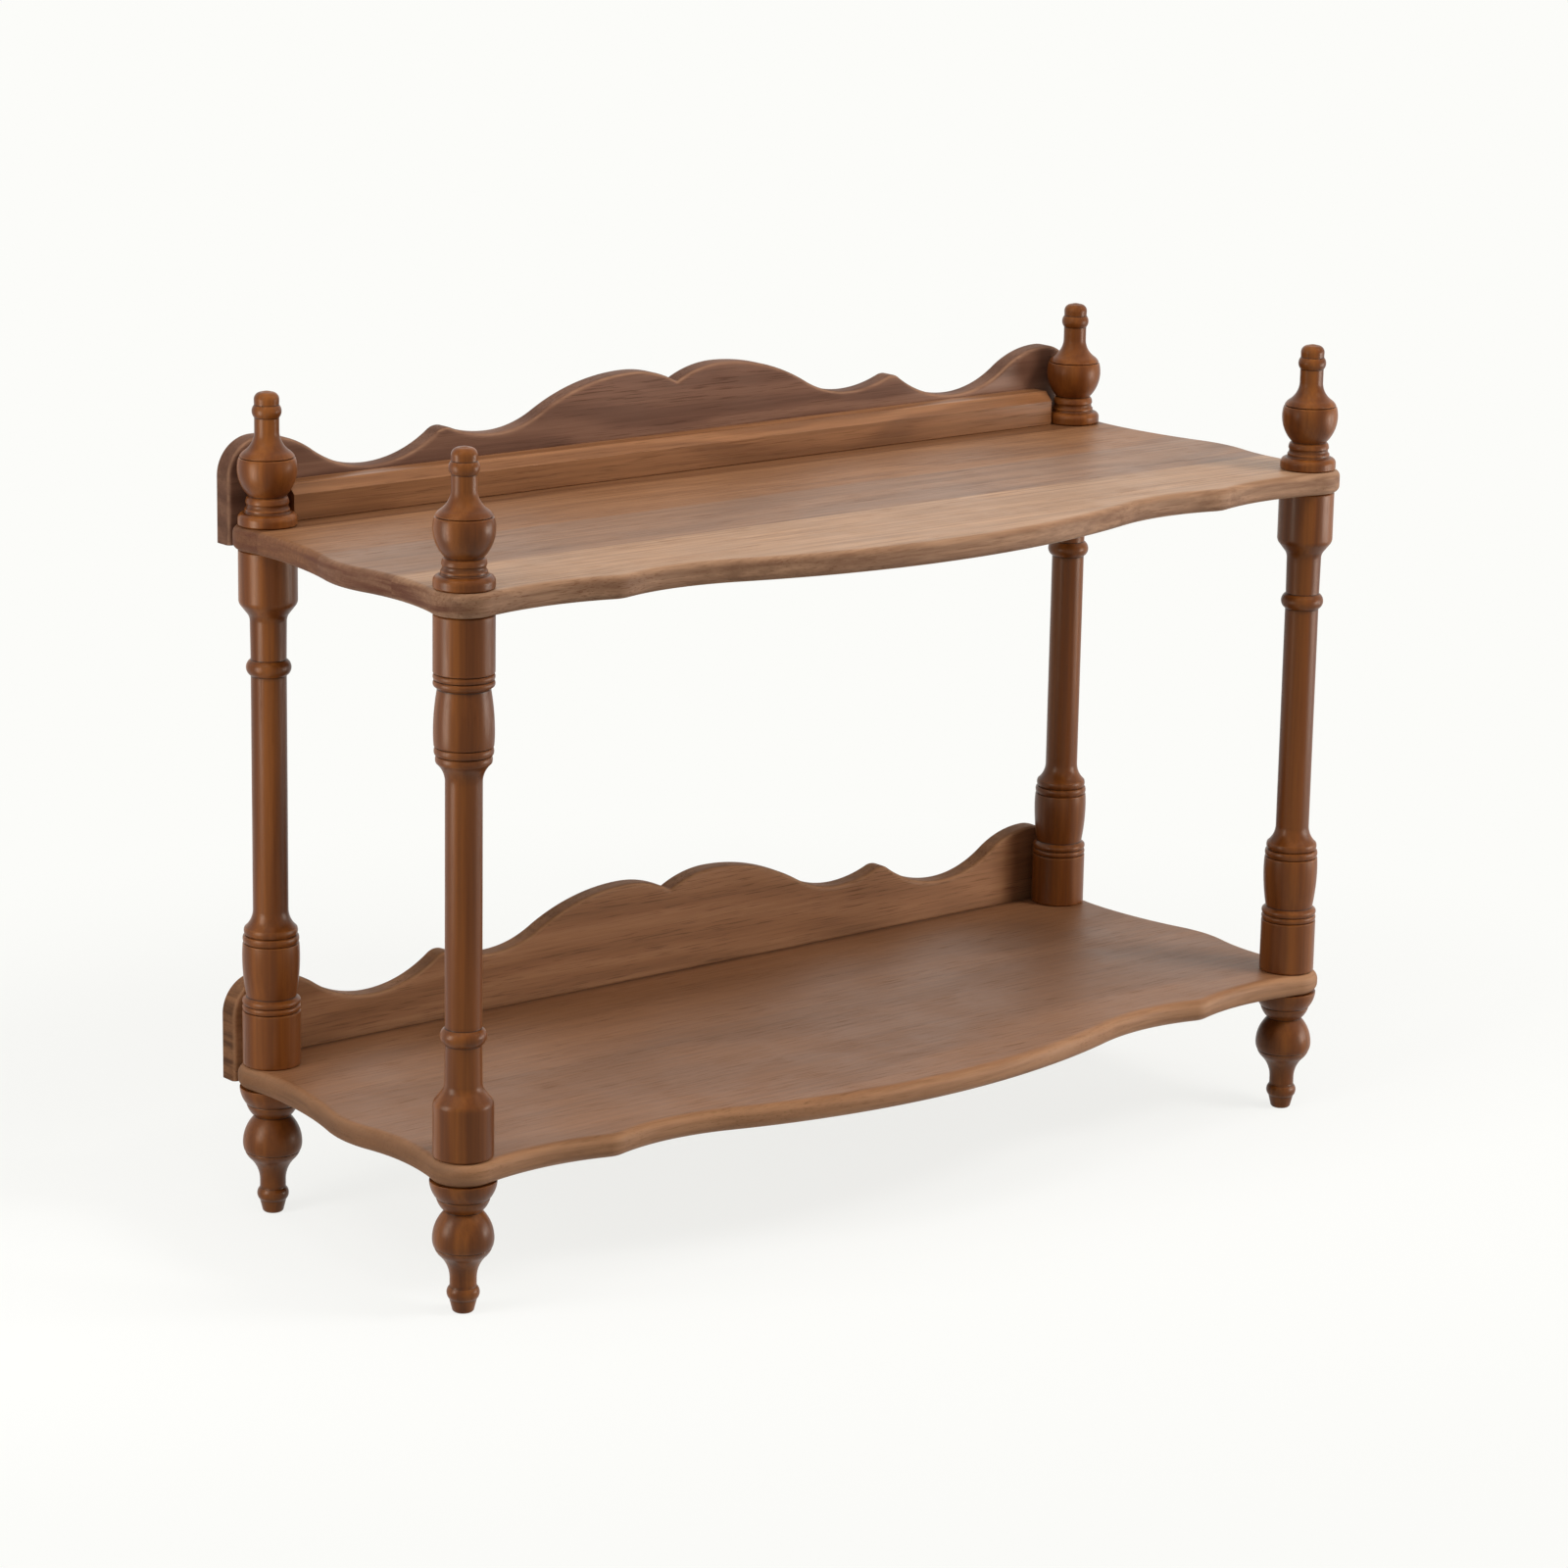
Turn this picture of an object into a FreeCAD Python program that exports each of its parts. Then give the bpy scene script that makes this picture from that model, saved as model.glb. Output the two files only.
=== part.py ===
import FreeCAD, Part
import math
import os
import Sketcher
from dataclasses import dataclass, replace
from enum import IntEnum, auto
from types import SimpleNamespace

# Two-tier tabletop shelf: serpentine shelves on turned posts, with scalloped back boards.
# Millimetres, +Z up, X along the length, front towards -Y.
# The origin lies on the surface it stands on, under the middle of its box.

SIZES = {
    # Post axes
    "post_spacing": 560.0,
    "back_post_inset": 8.0,
    "post_row_spacing": 181.0,
    # Shelves
    "shelf_thickness": 12.0,
    "shelf_margin": 2.5,
    "upper_edge_flat": 5.0,
    "lower_edge_flat": 2.0,
    # Front edge of the shelves, from a corner to the middle
    "front_cove_station": 38.0,
    "front_cove_depth": 4.6,
    "front_bump_station": 43.0,
    "front_bump_rise": 6.5,
    "front_bump_radius": 16.0,
    "inner_cove_station": 34.0,
    "inner_cove_depth": 4.8,
    "inner_cove_radius": 120.0,
    "front_bow_rise": 26.0,
    # Ends of the shelves
    "end_front_cove_station": 38.0,
    "end_front_cove_depth": 5.0,
    "end_bow_station": 80.0,
    "end_bow_rise": 5.0,
    "end_bow_radius": 70.0,
    "end_back_cove_station": 24.0,
    "end_back_cove_depth": 2.0,
    # Posts, from the vase end
    "post_length": 270.0,
    "post_radius": 15.0,
    "post_base_length": 28.6,
    "post_base_bead": 2.5,
    "post_step_length": 1.4,
    "vase_waist_radius": 12.9,
    "vase_lower_length": 21.5,
    "vase_radius": 14.8,
    "vase_upper_length": 6.5,
    "vase_shoulder_radius": 14.5,
    "vase_bead": 3.4,
    "vase_rim_radius": 13.5,
    "post_cove_length": 9.5,
    "shaft_radius": 9.1,
    "shaft_ring_length": 8.4,
    "shaft_ring_bulge": 2.4,
    "short_shaft_length": 19.6,
    "short_shaft_radius": 9.35,
    "cone_flare_length": 3.8,
    "cone_flare_radius": 10.5,
    "cone_length": 4.2,
    "cone_radius": 13.8,
    "cone_lip_length": 3.2,
    "post_top_length": 25.9,
    # Finials, from the shelf up
    "finial_disc_radius": 15.0,
    "finial_disc_height": 3.6,
    "finial_disc_round": 3.0,
    "finial_fillet_radius": 11.4,
    "finial_fillet_height": 1.2,
    "finial_hollow_height": 3.0,
    "finial_hollow_curve": 2.0,
    "finial_neckband_radius": 11.0,
    "finial_neckband_height": 2.6,
    "finial_neckband_curve": 6.0,
    "finial_neckband_top": 10.4,
    "urn_foot_radius": 9.4,
    "urn_radius": 15.1,
    "urn_lower_height": 14.0,
    "urn_upper_height": 5.2,
    "urn_rim_radius": 14.3,
    "urn_shoulder_radius": 11.6,
    "urn_shoulder_height": 2.7,
    "urn_shoulder_curve": 7.0,
    "finial_neck_radius": 6.3,
    "finial_cove_height": 9.9,
    "finial_neck_height": 7.0,
    "finial_ring_height": 6.4,
    "finial_ring_bulge": 1.2,
    "finial_tip_radius": 6.4,
    "finial_tip_height": 2.7,
    "finial_tip_round": 3.8,
    "finial_tip_crown": 0.5,
    # Feet, from the floor up
    "toe_radius": 5.4,
    "toe_height": 6.0,
    "toe_top_radius": 6.9,
    "toe_ring_height": 6.4,
    "toe_ring_bulge": 1.3,
    "ankle_radius": 6.7,
    "ankle_height": 3.4,
    "ankle_cove_height": 12.2,
    "ball_rim_radius": 12.0,
    "ball_radius": 15.3,
    "ball_line_radius": 14.15,
    "ball_line_height": 3.3,
    "ball_lower_height": 4.0,
    "ball_upper_height": 14.4,
    "foot_neck_radius": 9.2,
    "foot_collar_radius": 13.3,
    "foot_collar_height": 6.4,
    "foot_collar_curve": 12.8,
    "foot_flange_radius": 16.7,
    "foot_flange_height": 7.6,
    "foot_flange_curve": 15.2,
    "foot_flange_lip": 1.1,
    # Incised lines and eased arrises on the turnings
    "turned_groove_width": 0.8,
    "turned_groove_depth": 0.6,
    "turned_bead_bulge": 0.35,
    "turned_arris": 0.8,
    # Back boards
    "board_thickness": 12.0,
    "board_gap": 1.0,
    "board_overhang": 13.0,
    "board_arris": 2.4,
    "board_end_height": 54.0,
    "board_end_round": 20.0,
    "outer_dip_station": 68.0,
    "outer_dip_depth": 21.5,
    "board_end_crest_radius": 55.0,
    "board_bump_station": 46.0,
    "board_bump_rise": 15.0,
    "board_bump_radius": 9.0,
    "inner_dip_station": 31.0,
    "inner_dip_depth": 6.0,
    "hump_station": 30.0,
    "hump_rise": 24.0,
    "hump_radius": 120.0,
    "notch_depth": 7.5,
    "notch_radius": 1.5,
    # Gallery rail on the upper shelf
    "rail_height": 18.5,
    "rail_depth": 16.0,
    "rail_bevel": 5.0,
    "rail_end_gap": 1.0,
    # Threaded studs and the inserts in the posts
    "stud_radius": 3.0,
    "stud_arris": 0.6,
    "stud_grip": 20.0,
    "insert_radius": 5.0,
    "insert_length": 12.0,
    "drill_run_out": 1.0,
    "stud_hole_clearance": 0.25,
    "thread_clearance": 0.1,
    # Countersunk screws
    "screw_radius": 1.75,
    "screw_head_radius": 3.6,
    "screw_point": 5.0,
    "board_screw_length": 32.0,
    "rail_screw_length": 24.0,
    "screw_end_margin": 50.0,
    "screw_clearance": 0.1,
}
BOARD_SCREWS = 5
BASE_BEADS = 2
COUNTERSINK_ANGLE = 90.0
LEFT_TURN = 1
RIGHT_TURN = -1
SIDES = {"left": -1, "right": 1}
QUARTER_TURN = 90
HALF_TURN = 180
FULL_TURN = 360
TINY = 1e-3
ORIGIN = (-1, 1)
SHEET = "Sizes"


class Size:
    """A number together with the sheet expression that gives it."""

    def __init__(self, number, text):
        self.number = number
        self.text = text

    def __add__(self, other):
        other = as_size(other)
        return Size(self.number + other.number, f"({self.text} + {other.text})")

    def __sub__(self, other):
        other = as_size(other)
        return Size(self.number - other.number, f"({self.text} - {other.text})")

    def __mul__(self, other):
        other = as_size(other)
        return Size(self.number * other.number, f"({self.text} * {other.text})")

    def __truediv__(self, other):
        other = as_size(other)
        return Size(self.number / other.number, f"({self.text} / {other.text})")

    def __neg__(self):
        return Size(-self.number, f"(-1 * {self.text})")

    def __abs__(self):
        return self if self.number >= 0 else -self


def as_size(value):
    """Turn a plain count or factor into a Size."""
    return value if isinstance(value, Size) else Size(float(value), f"{value}")


def start_radius(run, rise):
    """Radius of an arc that starts along its run and drifts sideways by rise."""
    return (run * run + rise * rise) / (rise * 2)


def write_sheet(document):
    """Fill the spreadsheet with the driving sizes and return them as named Size values."""
    sheet = document.addObject("Spreadsheet::Sheet", SHEET)
    for row, (name, number) in enumerate(SIZES.items(), start=1):
        sheet.set(f"A{row}", name)
        sheet.set(f"B{row}", str(number))
        sheet.setAlias(f"B{row}", name)
    document.recompute()
    return SimpleNamespace(**{name: Size(number, f"{SHEET}.{name}") for name, number in SIZES.items()})


doc = FreeCAD.newDocument("TabletopShelf")
dim = write_sheet(doc)
ZERO = as_size(0)


# Sketch and body helpers

def new_body(label):
    """An empty body whose label names the piece."""
    body = doc.addObject("PartDesign::Body", label)
    body.Label = label
    return body


def new_sketch(body, name, role):
    """A sketch on one of the body's own origin planes."""
    sketch = body.newObject("Sketcher::SketchObject", name)
    plane = next(feature for feature in body.Origin.OriginFeatures if feature.Role == role)
    sketch.AttachmentSupport = [(plane, "")]
    sketch.MapMode = "FlatFace"
    return sketch


def bind(item, **sizes):
    """Tie properties of an object to the sheet."""
    for name, size in sizes.items():
        item.setExpression(name, size.text)


def place(body, x, y, z, tilt=0):
    """Put a piece in the assembly, turned about X by tilt degrees."""
    body.Placement = FreeCAD.Placement(FreeCAD.Vector(), FreeCAD.Rotation(FreeCAD.Vector(1, 0, 0), tilt))
    for axis, size in zip("xyz", (x, y, z)):
        body.setExpression(f"Placement.Base.{axis}", size.text)


def curve_between(start, end, radius, turn):
    """Short arc of a radius from start to end, turning left or right on the way."""
    run = (end[0] - start[0], end[1] - start[1])
    chord = math.hypot(*run)
    reach = math.sqrt(max(radius * radius - chord * chord / 4, 0.0)) / chord * turn
    centre = ((start[0] + end[0]) / 2 - run[1] * reach, (start[1] + end[1]) / 2 + run[0] * reach)
    first, last = (start, end) if turn == LEFT_TURN else (end, start)
    angles = [math.atan2(point[1] - centre[1], point[0] - centre[0]) for point in (first, last)]
    if angles[1] < angles[0]:
        angles[1] += 2 * math.pi
    circle = Part.Circle(FreeCAD.Vector(*centre, 0), FreeCAD.Vector(0, 0, 1), radius)
    return Part.ArcOfCircle(circle, *angles)


class Vertex(IntEnum):
    """The points of a drawn edge, in the order that sketches number them."""

    START = auto()
    END = auto()
    CENTRE = auto()


@dataclass
class Edge:
    """An edge of an outline: its far end, its curve and the sizes that hold them."""

    end: tuple
    x: Size = None
    y: Size = None
    rise: Size = None
    curve: float = None
    radius: Size = None
    turn: int = None
    square: str = None
    along: str = None
    flows: bool = False

    def corners(self):
        """The edge's first and last vertex, which a right turn swaps."""
        ends = (Vertex.START, Vertex.END)
        return ends[::-1] if self.turn == RIGHT_TURN else ends


class Outline:
    """A closed sketch outline whose every corner and radius is held to the sheet."""

    def __init__(self, x, y):
        self.x = x
        self.y = y
        self.start = (x, y)
        self.edges = []

    def line(self, x, y):
        """Straight edge to a point."""
        self.edges.append(Edge((x.number, y.number), x, y))
        self.x = x
        self.y = y

    def arc(self, x, y, radius, turn):
        """Arc of a radius to a point."""
        self.edges.append(Edge((x.number, y.number), x, y, None, radius.number, radius, turn))
        self.x = x
        self.y = y

    def wave(self, x, y, along, turn, near=None, far=None):
        """Two arcs in a smooth S to a point, lying along an axis at both ends.

        One radius is given, near this end or at the far end, and the other follows from it.
        """
        shift = (x.number - self.x.number, y.number - self.y.number)
        run, rise = shift if along == "x" else shift[::-1]
        both = start_radius(abs(run), abs(rise))
        first = near.number if near else both - far.number
        middle = (self.x.number + shift[0] * first / both, self.y.number + shift[1] * first / both)
        self.edges.append(Edge(middle, curve=first, radius=near, turn=turn, square="start", along=along,
                               flows=True))
        self.edges.append(Edge((x.number, y.number), x, y, None, both - first, far, -turn, "end", along))
        self.x = x
        self.y = y

    def draw(self, body, name, role):
        """Draw the outline in a new sketch, closed by a straight edge where it is open."""
        sketch = new_sketch(body, name, role)
        if (self.x, self.y) != self.start:
            self.line(*self.start)
        shapes = []
        begin = (self.start[0].number, self.start[1].number)
        for edge in self.edges:
            if edge.curve is None:
                shapes.append(Part.LineSegment(FreeCAD.Vector(*begin, 0), FreeCAD.Vector(*edge.end, 0)))
            else:
                shapes.append(curve_between(begin, edge.end, edge.curve, edge.turn))
            begin = edge.end
        sketch.addGeometry(shapes, False)
        self.hold(sketch)
        return sketch

    def hold(self, sketch):
        """Join the edges end to end and bind each corner and radius to its expression."""
        constraints = []
        bindings = {}

        def tie(kind, *place, size=None):
            if size is not None:
                bindings[len(constraints)] = size
                place = (*place, size.number)
            constraints.append(Sketcher.Constraint(kind, *place))

        for index, edge in enumerate(self.edges):
            first, last = edge.corners()
            following = (index + 1) % len(self.edges)
            meeting = self.edges[following].corners()[0]
            tie("Tangent" if edge.flows else "Coincident", index, last, following, meeting)
            if edge.x is not None:
                tie("DistanceX", *ORIGIN, index, last, size=edge.x)
            if edge.rise is not None:
                tie("DistanceY", index, first, index, last, size=edge.rise)
            elif edge.y is not None:
                tie("DistanceY", *ORIGIN, index, last, size=edge.y)
            if edge.radius is not None:
                tie("Radius", index, size=edge.radius)
            if edge.square is not None:
                upright = "Vertical" if edge.along == "x" else "Horizontal"
                tie(upright, index, Vertex.CENTRE, index, first if edge.square == "start" else last)
        sketch.addConstraint(constraints)
        for index, size in bindings.items():
            sketch.setExpression(f"Constraints[{index}]", size.text)


class Turning(Outline):
    """Half profile of a turned piece: x is the radius and y the height along the axis."""

    def rise(self, radius, height):
        """Straight run up to a radius."""
        self.line(radius, self.y + height)
        self.edges[-1].rise = height

    def swell(self, radius, height, curve, turn=LEFT_TURN):
        """Curved run up to a radius."""
        self.arc(radius, self.y + height, curve, turn)
        self.edges[-1].rise = height

    def bead(self, width, bulge):
        """Rounded ring standing out from the present radius."""
        self.swell(self.x, width, start_radius(width / 2, bulge))

    def groove(self, radius):
        """Fine V cut that ends at a radius."""
        half = dim.turned_groove_width / 2
        self.rise(radius - dim.turned_groove_depth, half)
        self.rise(radius, half)


def turn_body(label, profile):
    """Revolve a half profile about the vertical axis."""
    body = new_body(label)
    sketch = profile.draw(body, "Profile", "XZ_Plane")
    turned = body.newObject("PartDesign::Revolution", "Turned")
    turned.Profile = sketch
    turned.ReferenceAxis = (sketch, ["V_Axis"])
    turned.Angle = FULL_TURN
    return body


def pad_body(label, outline, role, length, backward=False):
    """Pad an outline drawn on an origin plane."""
    body = new_body(label)
    pad = body.newObject("PartDesign::Pad", "Blank")
    pad.Profile = outline.draw(body, "Outline", role)
    pad.Reversed = backward
    bind(pad, Length=length)
    doc.recompute()
    return body


def ease_edges(body, kind, wanted, **sizes):
    """Fillet or chamfer the edges of the last feature that a test picks out."""
    blank = body.Tip
    names = [f"Edge{index}" for index, edge in enumerate(blank.Shape.Edges, start=1) if wanted(edge)]
    eased = body.newObject(f"PartDesign::{kind}", "EasedEdges")
    eased.Base = (blank, names)
    bind(eased, **sizes)
    doc.recompute()


def drill(body, name, role, level, centres, radius, depth, countersink=None):
    """Drill round holes from a plane parallel to one of the origin planes.

    Args:
        level: how far the plane lies from the origin along its own normal, which the drill follows.
        countersink: radius of the countersink at the surface, or None.
    """
    before = body.Shape.Volume
    sketch = new_sketch(body, name + "Centres", role)
    sketch.setExpression("AttachmentOffset.Base.z", level.text)
    for index, (x, y) in enumerate(centres):
        middle = FreeCAD.Vector(x.number, y.number, 0)
        sketch.addGeometry(Part.Circle(middle, FreeCAD.Vector(0, 0, 1), radius.number), False)
        for kind, size in (("DistanceX", x), ("DistanceY", y)):
            place = (*ORIGIN, index, Vertex.CENTRE, size.number)
            held = sketch.addConstraint(Sketcher.Constraint(kind, *place))
            sketch.setExpression(f"Constraints[{held}]", size.text)
        held = sketch.addConstraint(Sketcher.Constraint("Radius", index, radius.number))
        sketch.setExpression(f"Constraints[{held}]", radius.text)
    hole = body.newObject("PartDesign::Hole", name)
    hole.Profile = sketch
    doc.recompute()
    hole.DrillPoint = "Flat"
    hole.Reversed = True
    if countersink is not None:
        hole.HoleCutType = "Countersink"
        hole.HoleCutCountersinkAngle = COUNTERSINK_ANGLE
        bind(hole, HoleCutDiameter=countersink * 2)
    bind(hole, Diameter=radius * 2, Depth=depth)
    doc.recompute()
    if body.Shape.Volume >= before:
        raise RuntimeError(f"{body.Label}: {name} cut nothing")


# Heights and places worked out from the driving sizes

lobe_radius = dim.post_radius + dim.shelf_margin
front_bow_reach = (lobe_radius - dim.front_cove_depth + dim.front_bump_rise
                   - dim.inner_cove_depth + dim.front_bow_rise)
back_edge_inset = dim.post_radius + dim.board_gap
behind_front_row = dim.post_row_spacing + back_edge_inset + dim.board_thickness

front_x = dim.post_spacing / 2
back_x = front_x - dim.back_post_inset
front_y = (front_bow_reach - behind_front_row) / 2
back_y = front_y + dim.post_row_spacing
back_edge_y = back_y + back_edge_inset

ROWS = {"front": (front_x, front_y), "back": (back_x, back_y)}
CORNERS = {
    f"{row}_{side}": (x * sign, y) for row, (x, y) in ROWS.items() for side, sign in SIDES.items()
}
TURNED_OVER_POST = "front_left"


# Turned profiles

def bored_start(radius, depth, outer):
    """Start a half profile with a hole drilled up from its lower end."""
    profile = Turning(ZERO, depth)
    profile.line(radius, depth)
    profile.line(radius, ZERO)
    profile.line(outer - dim.turned_arris, ZERO)
    profile.rise(outer, dim.turned_arris)
    return profile


def post_profile():
    """Plain base, vase with incised beads, ringed shaft, cone and plain top."""
    hole = dim.insert_radius + dim.thread_clearance
    hole_depth = dim.insert_length + dim.drill_run_out
    top_below_ring = (dim.shaft_ring_length + dim.short_shaft_length + dim.cone_flare_length
                      + dim.cone_length + dim.cone_lip_length + dim.post_top_length)
    post = bored_start(hole, hole_depth, dim.post_radius)
    post.rise(dim.post_radius, dim.post_base_length - dim.turned_arris)
    for _ in range(BASE_BEADS):
        post.groove(dim.post_radius - dim.turned_bead_bulge)
        post.bead(dim.post_base_bead, dim.turned_bead_bulge)
    post.rise(dim.vase_waist_radius, dim.post_step_length)
    lower = start_radius(dim.vase_lower_length, dim.vase_radius - dim.vase_waist_radius)
    post.swell(dim.vase_radius, dim.vase_lower_length, lower)
    upper = start_radius(dim.vase_upper_length, dim.vase_radius - dim.vase_shoulder_radius)
    post.swell(dim.vase_shoulder_radius, dim.vase_upper_length, upper)
    post.groove(dim.vase_shoulder_radius - dim.turned_bead_bulge)
    post.bead(dim.vase_bead, dim.turned_bead_bulge)
    post.groove(dim.vase_rim_radius)
    post.bead(dim.vase_bead, dim.turned_bead_bulge)
    cove = start_radius(dim.post_cove_length, dim.vase_rim_radius - dim.shaft_radius)
    post.swell(dim.shaft_radius, dim.post_cove_length, cove, RIGHT_TURN)
    post.line(dim.shaft_radius, dim.post_length - top_below_ring)
    post.bead(dim.shaft_ring_length, dim.shaft_ring_bulge)
    post.rise(dim.short_shaft_radius, dim.short_shaft_length)
    flare = start_radius(dim.cone_flare_length, dim.cone_flare_radius - dim.short_shaft_radius)
    post.swell(dim.cone_flare_radius, dim.cone_flare_length, flare, RIGHT_TURN)
    post.rise(dim.cone_radius, dim.cone_length)
    lip = start_radius(dim.cone_lip_length, dim.post_radius - dim.cone_radius)
    post.swell(dim.post_radius, dim.cone_lip_length, lip)
    post.rise(dim.post_radius, dim.post_top_length - dim.turned_arris)
    post.rise(dim.post_radius - dim.turned_arris, dim.turned_arris)
    post.line(hole, dim.post_length)
    post.line(hole, dim.post_length - hole_depth)
    post.line(ZERO, dim.post_length - hole_depth)
    return post


def finial_profile():
    """Disc, hollow and neckband, urn with an incised rim, drawn-in neck, ring and button tip."""
    hole = dim.stud_radius + dim.thread_clearance
    finial = bored_start(hole, dim.stud_grip + dim.drill_run_out, dim.finial_disc_radius)
    finial.rise(dim.finial_disc_radius, dim.finial_disc_height - dim.turned_arris)
    shoulder = dim.finial_disc_radius - dim.finial_disc_round
    finial.swell(shoulder, dim.finial_disc_round, dim.finial_disc_round)
    finial.rise(dim.finial_fillet_radius, dim.turned_arris)
    finial.rise(dim.finial_fillet_radius, dim.finial_fillet_height)
    finial.swell(dim.finial_neckband_radius, dim.finial_hollow_height, dim.finial_hollow_curve, RIGHT_TURN)
    finial.swell(dim.finial_neckband_top, dim.finial_neckband_height, dim.finial_neckband_curve)
    finial.rise(dim.urn_foot_radius, dim.turned_groove_width)
    lower = start_radius(dim.urn_lower_height, dim.urn_radius - dim.urn_foot_radius)
    finial.swell(dim.urn_radius, dim.urn_lower_height, lower)
    upper = start_radius(dim.urn_upper_height, dim.urn_radius - dim.urn_rim_radius)
    finial.swell(dim.urn_rim_radius, dim.urn_upper_height, upper)
    finial.groove(dim.urn_rim_radius - dim.turned_bead_bulge)
    finial.swell(dim.urn_shoulder_radius, dim.urn_shoulder_height, dim.urn_shoulder_curve)
    cove = start_radius(dim.finial_cove_height, dim.urn_shoulder_radius - dim.finial_neck_radius)
    finial.swell(dim.finial_neck_radius, dim.finial_cove_height, cove, RIGHT_TURN)
    finial.rise(dim.finial_neck_radius, dim.finial_neck_height)
    finial.bead(dim.finial_ring_height, dim.finial_ring_bulge)
    finial.rise(dim.finial_tip_radius, dim.finial_tip_height)
    crown_radius = dim.finial_tip_radius - dim.finial_tip_round
    finial.swell(crown_radius, dim.finial_tip_round, dim.finial_tip_round)
    finial.swell(ZERO, dim.finial_tip_crown, start_radius(crown_radius, dim.finial_tip_crown))
    return finial


def foot_outside():
    """Tapered toe, ring, ankle, ball with an incised line and two flared collars under the shelf."""
    foot = Turning(ZERO, ZERO)
    foot.line(dim.toe_radius - dim.turned_arris, ZERO)
    foot.rise(dim.toe_radius, dim.turned_arris)
    foot.rise(dim.toe_top_radius, dim.toe_height)
    foot.bead(dim.toe_ring_height, dim.toe_ring_bulge)
    foot.rise(dim.ankle_radius, dim.turned_groove_width)
    foot.rise(dim.ankle_radius, dim.ankle_height)
    cove = start_radius(dim.ankle_cove_height, dim.ball_rim_radius - dim.ankle_radius)
    foot.swell(dim.ball_rim_radius, dim.ankle_cove_height, cove, RIGHT_TURN)
    above_line = dim.ball_line_radius + dim.turned_bead_bulge
    lower = start_radius(dim.ball_lower_height, dim.ball_radius - above_line)
    foot.swell(dim.ball_line_radius, dim.ball_line_height, lower)
    foot.groove(above_line)
    foot.swell(dim.ball_radius, dim.ball_lower_height, lower)
    upper = start_radius(dim.ball_upper_height, dim.ball_radius - dim.foot_neck_radius)
    foot.swell(dim.foot_neck_radius, dim.ball_upper_height, upper)
    foot.swell(dim.foot_collar_radius, dim.foot_collar_height, dim.foot_collar_curve)
    foot.groove(dim.foot_collar_radius + dim.turned_bead_bulge)
    foot.swell(dim.foot_flange_radius, dim.foot_flange_height, dim.foot_flange_curve)
    foot.rise(dim.foot_flange_radius, dim.foot_flange_lip)
    return foot


def foot_profile():
    """The outside of a foot, with a hole for the stud drilled down from its top."""
    hole = dim.stud_radius + dim.thread_clearance
    foot = foot_outside()
    bottom = foot.y - dim.stud_grip - dim.drill_run_out
    foot.line(hole, foot.y)
    foot.line(hole, bottom)
    foot.line(ZERO, bottom)
    return foot


def stud_profile():
    """Plain round stud with chamfered ends, standing in for the threaded one."""
    length = dim.stud_grip + dim.shelf_thickness + dim.insert_length
    stud = Turning(ZERO, ZERO)
    stud.line(dim.stud_radius - dim.stud_arris, ZERO)
    stud.rise(dim.stud_radius, dim.stud_arris)
    stud.line(dim.stud_radius, length - dim.stud_arris)
    stud.rise(dim.stud_radius - dim.stud_arris, dim.stud_arris)
    stud.line(ZERO, length)
    return stud


def insert_profile():
    """Threaded insert as a plain sleeve."""
    bore = dim.stud_radius + dim.thread_clearance
    sleeve = Turning(bore, ZERO)
    sleeve.line(dim.insert_radius, ZERO)
    sleeve.line(dim.insert_radius, dim.insert_length)
    sleeve.line(bore, dim.insert_length)
    return sleeve


def screw_profile(length):
    """Countersunk screw, head down and point up."""
    screw = Turning(ZERO, ZERO)
    screw.line(dim.screw_head_radius, ZERO)
    screw.rise(dim.screw_radius, dim.screw_head_radius - dim.screw_radius)
    screw.line(dim.screw_radius, length - dim.screw_point)
    screw.line(ZERO, length)
    return screw


# Flat outlines

def shelf_half(outline):
    """Right half of the shelf blank, from the crest of the bow round to its straight back."""
    reach = lobe_radius - dim.front_cove_depth
    cove_x = front_x - dim.front_cove_station
    bump_x = cove_x - dim.front_bump_station
    inner_x = bump_x - dim.inner_cove_station
    bump_y = front_y - reach - dim.front_bump_rise
    inner_y = bump_y + dim.inner_cove_depth
    lobe_y = front_y - lobe_radius
    outline.wave(inner_x, inner_y, "x", LEFT_TURN, far=dim.inner_cove_radius)
    outline.wave(bump_x, bump_y, "x", RIGHT_TURN, far=dim.front_bump_radius)
    outline.wave(cove_x, front_y - reach, "x", LEFT_TURN, near=dim.front_bump_radius)
    outline.wave(front_x, lobe_y, "x", RIGHT_TURN, far=lobe_radius)
    outline.arc(front_x + lobe_radius, front_y, lobe_radius, LEFT_TURN)
    end_x = front_x + lobe_radius - dim.end_front_cove_depth
    outline.wave(end_x, front_y + dim.end_front_cove_station, "y", LEFT_TURN, near=lobe_radius)
    outline.wave(end_x + dim.end_bow_rise, front_y + dim.end_bow_station, "y", RIGHT_TURN,
                 far=dim.end_bow_radius)
    outline.wave(back_x + lobe_radius - dim.end_back_cove_depth, back_y - dim.end_back_cove_station,
                 "y", LEFT_TURN, near=dim.end_bow_radius)
    outline.wave(back_x + lobe_radius, back_y, "y", RIGHT_TURN, far=lobe_radius)
    outline.arc(back_x, back_y + lobe_radius, lobe_radius, LEFT_TURN)


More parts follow.
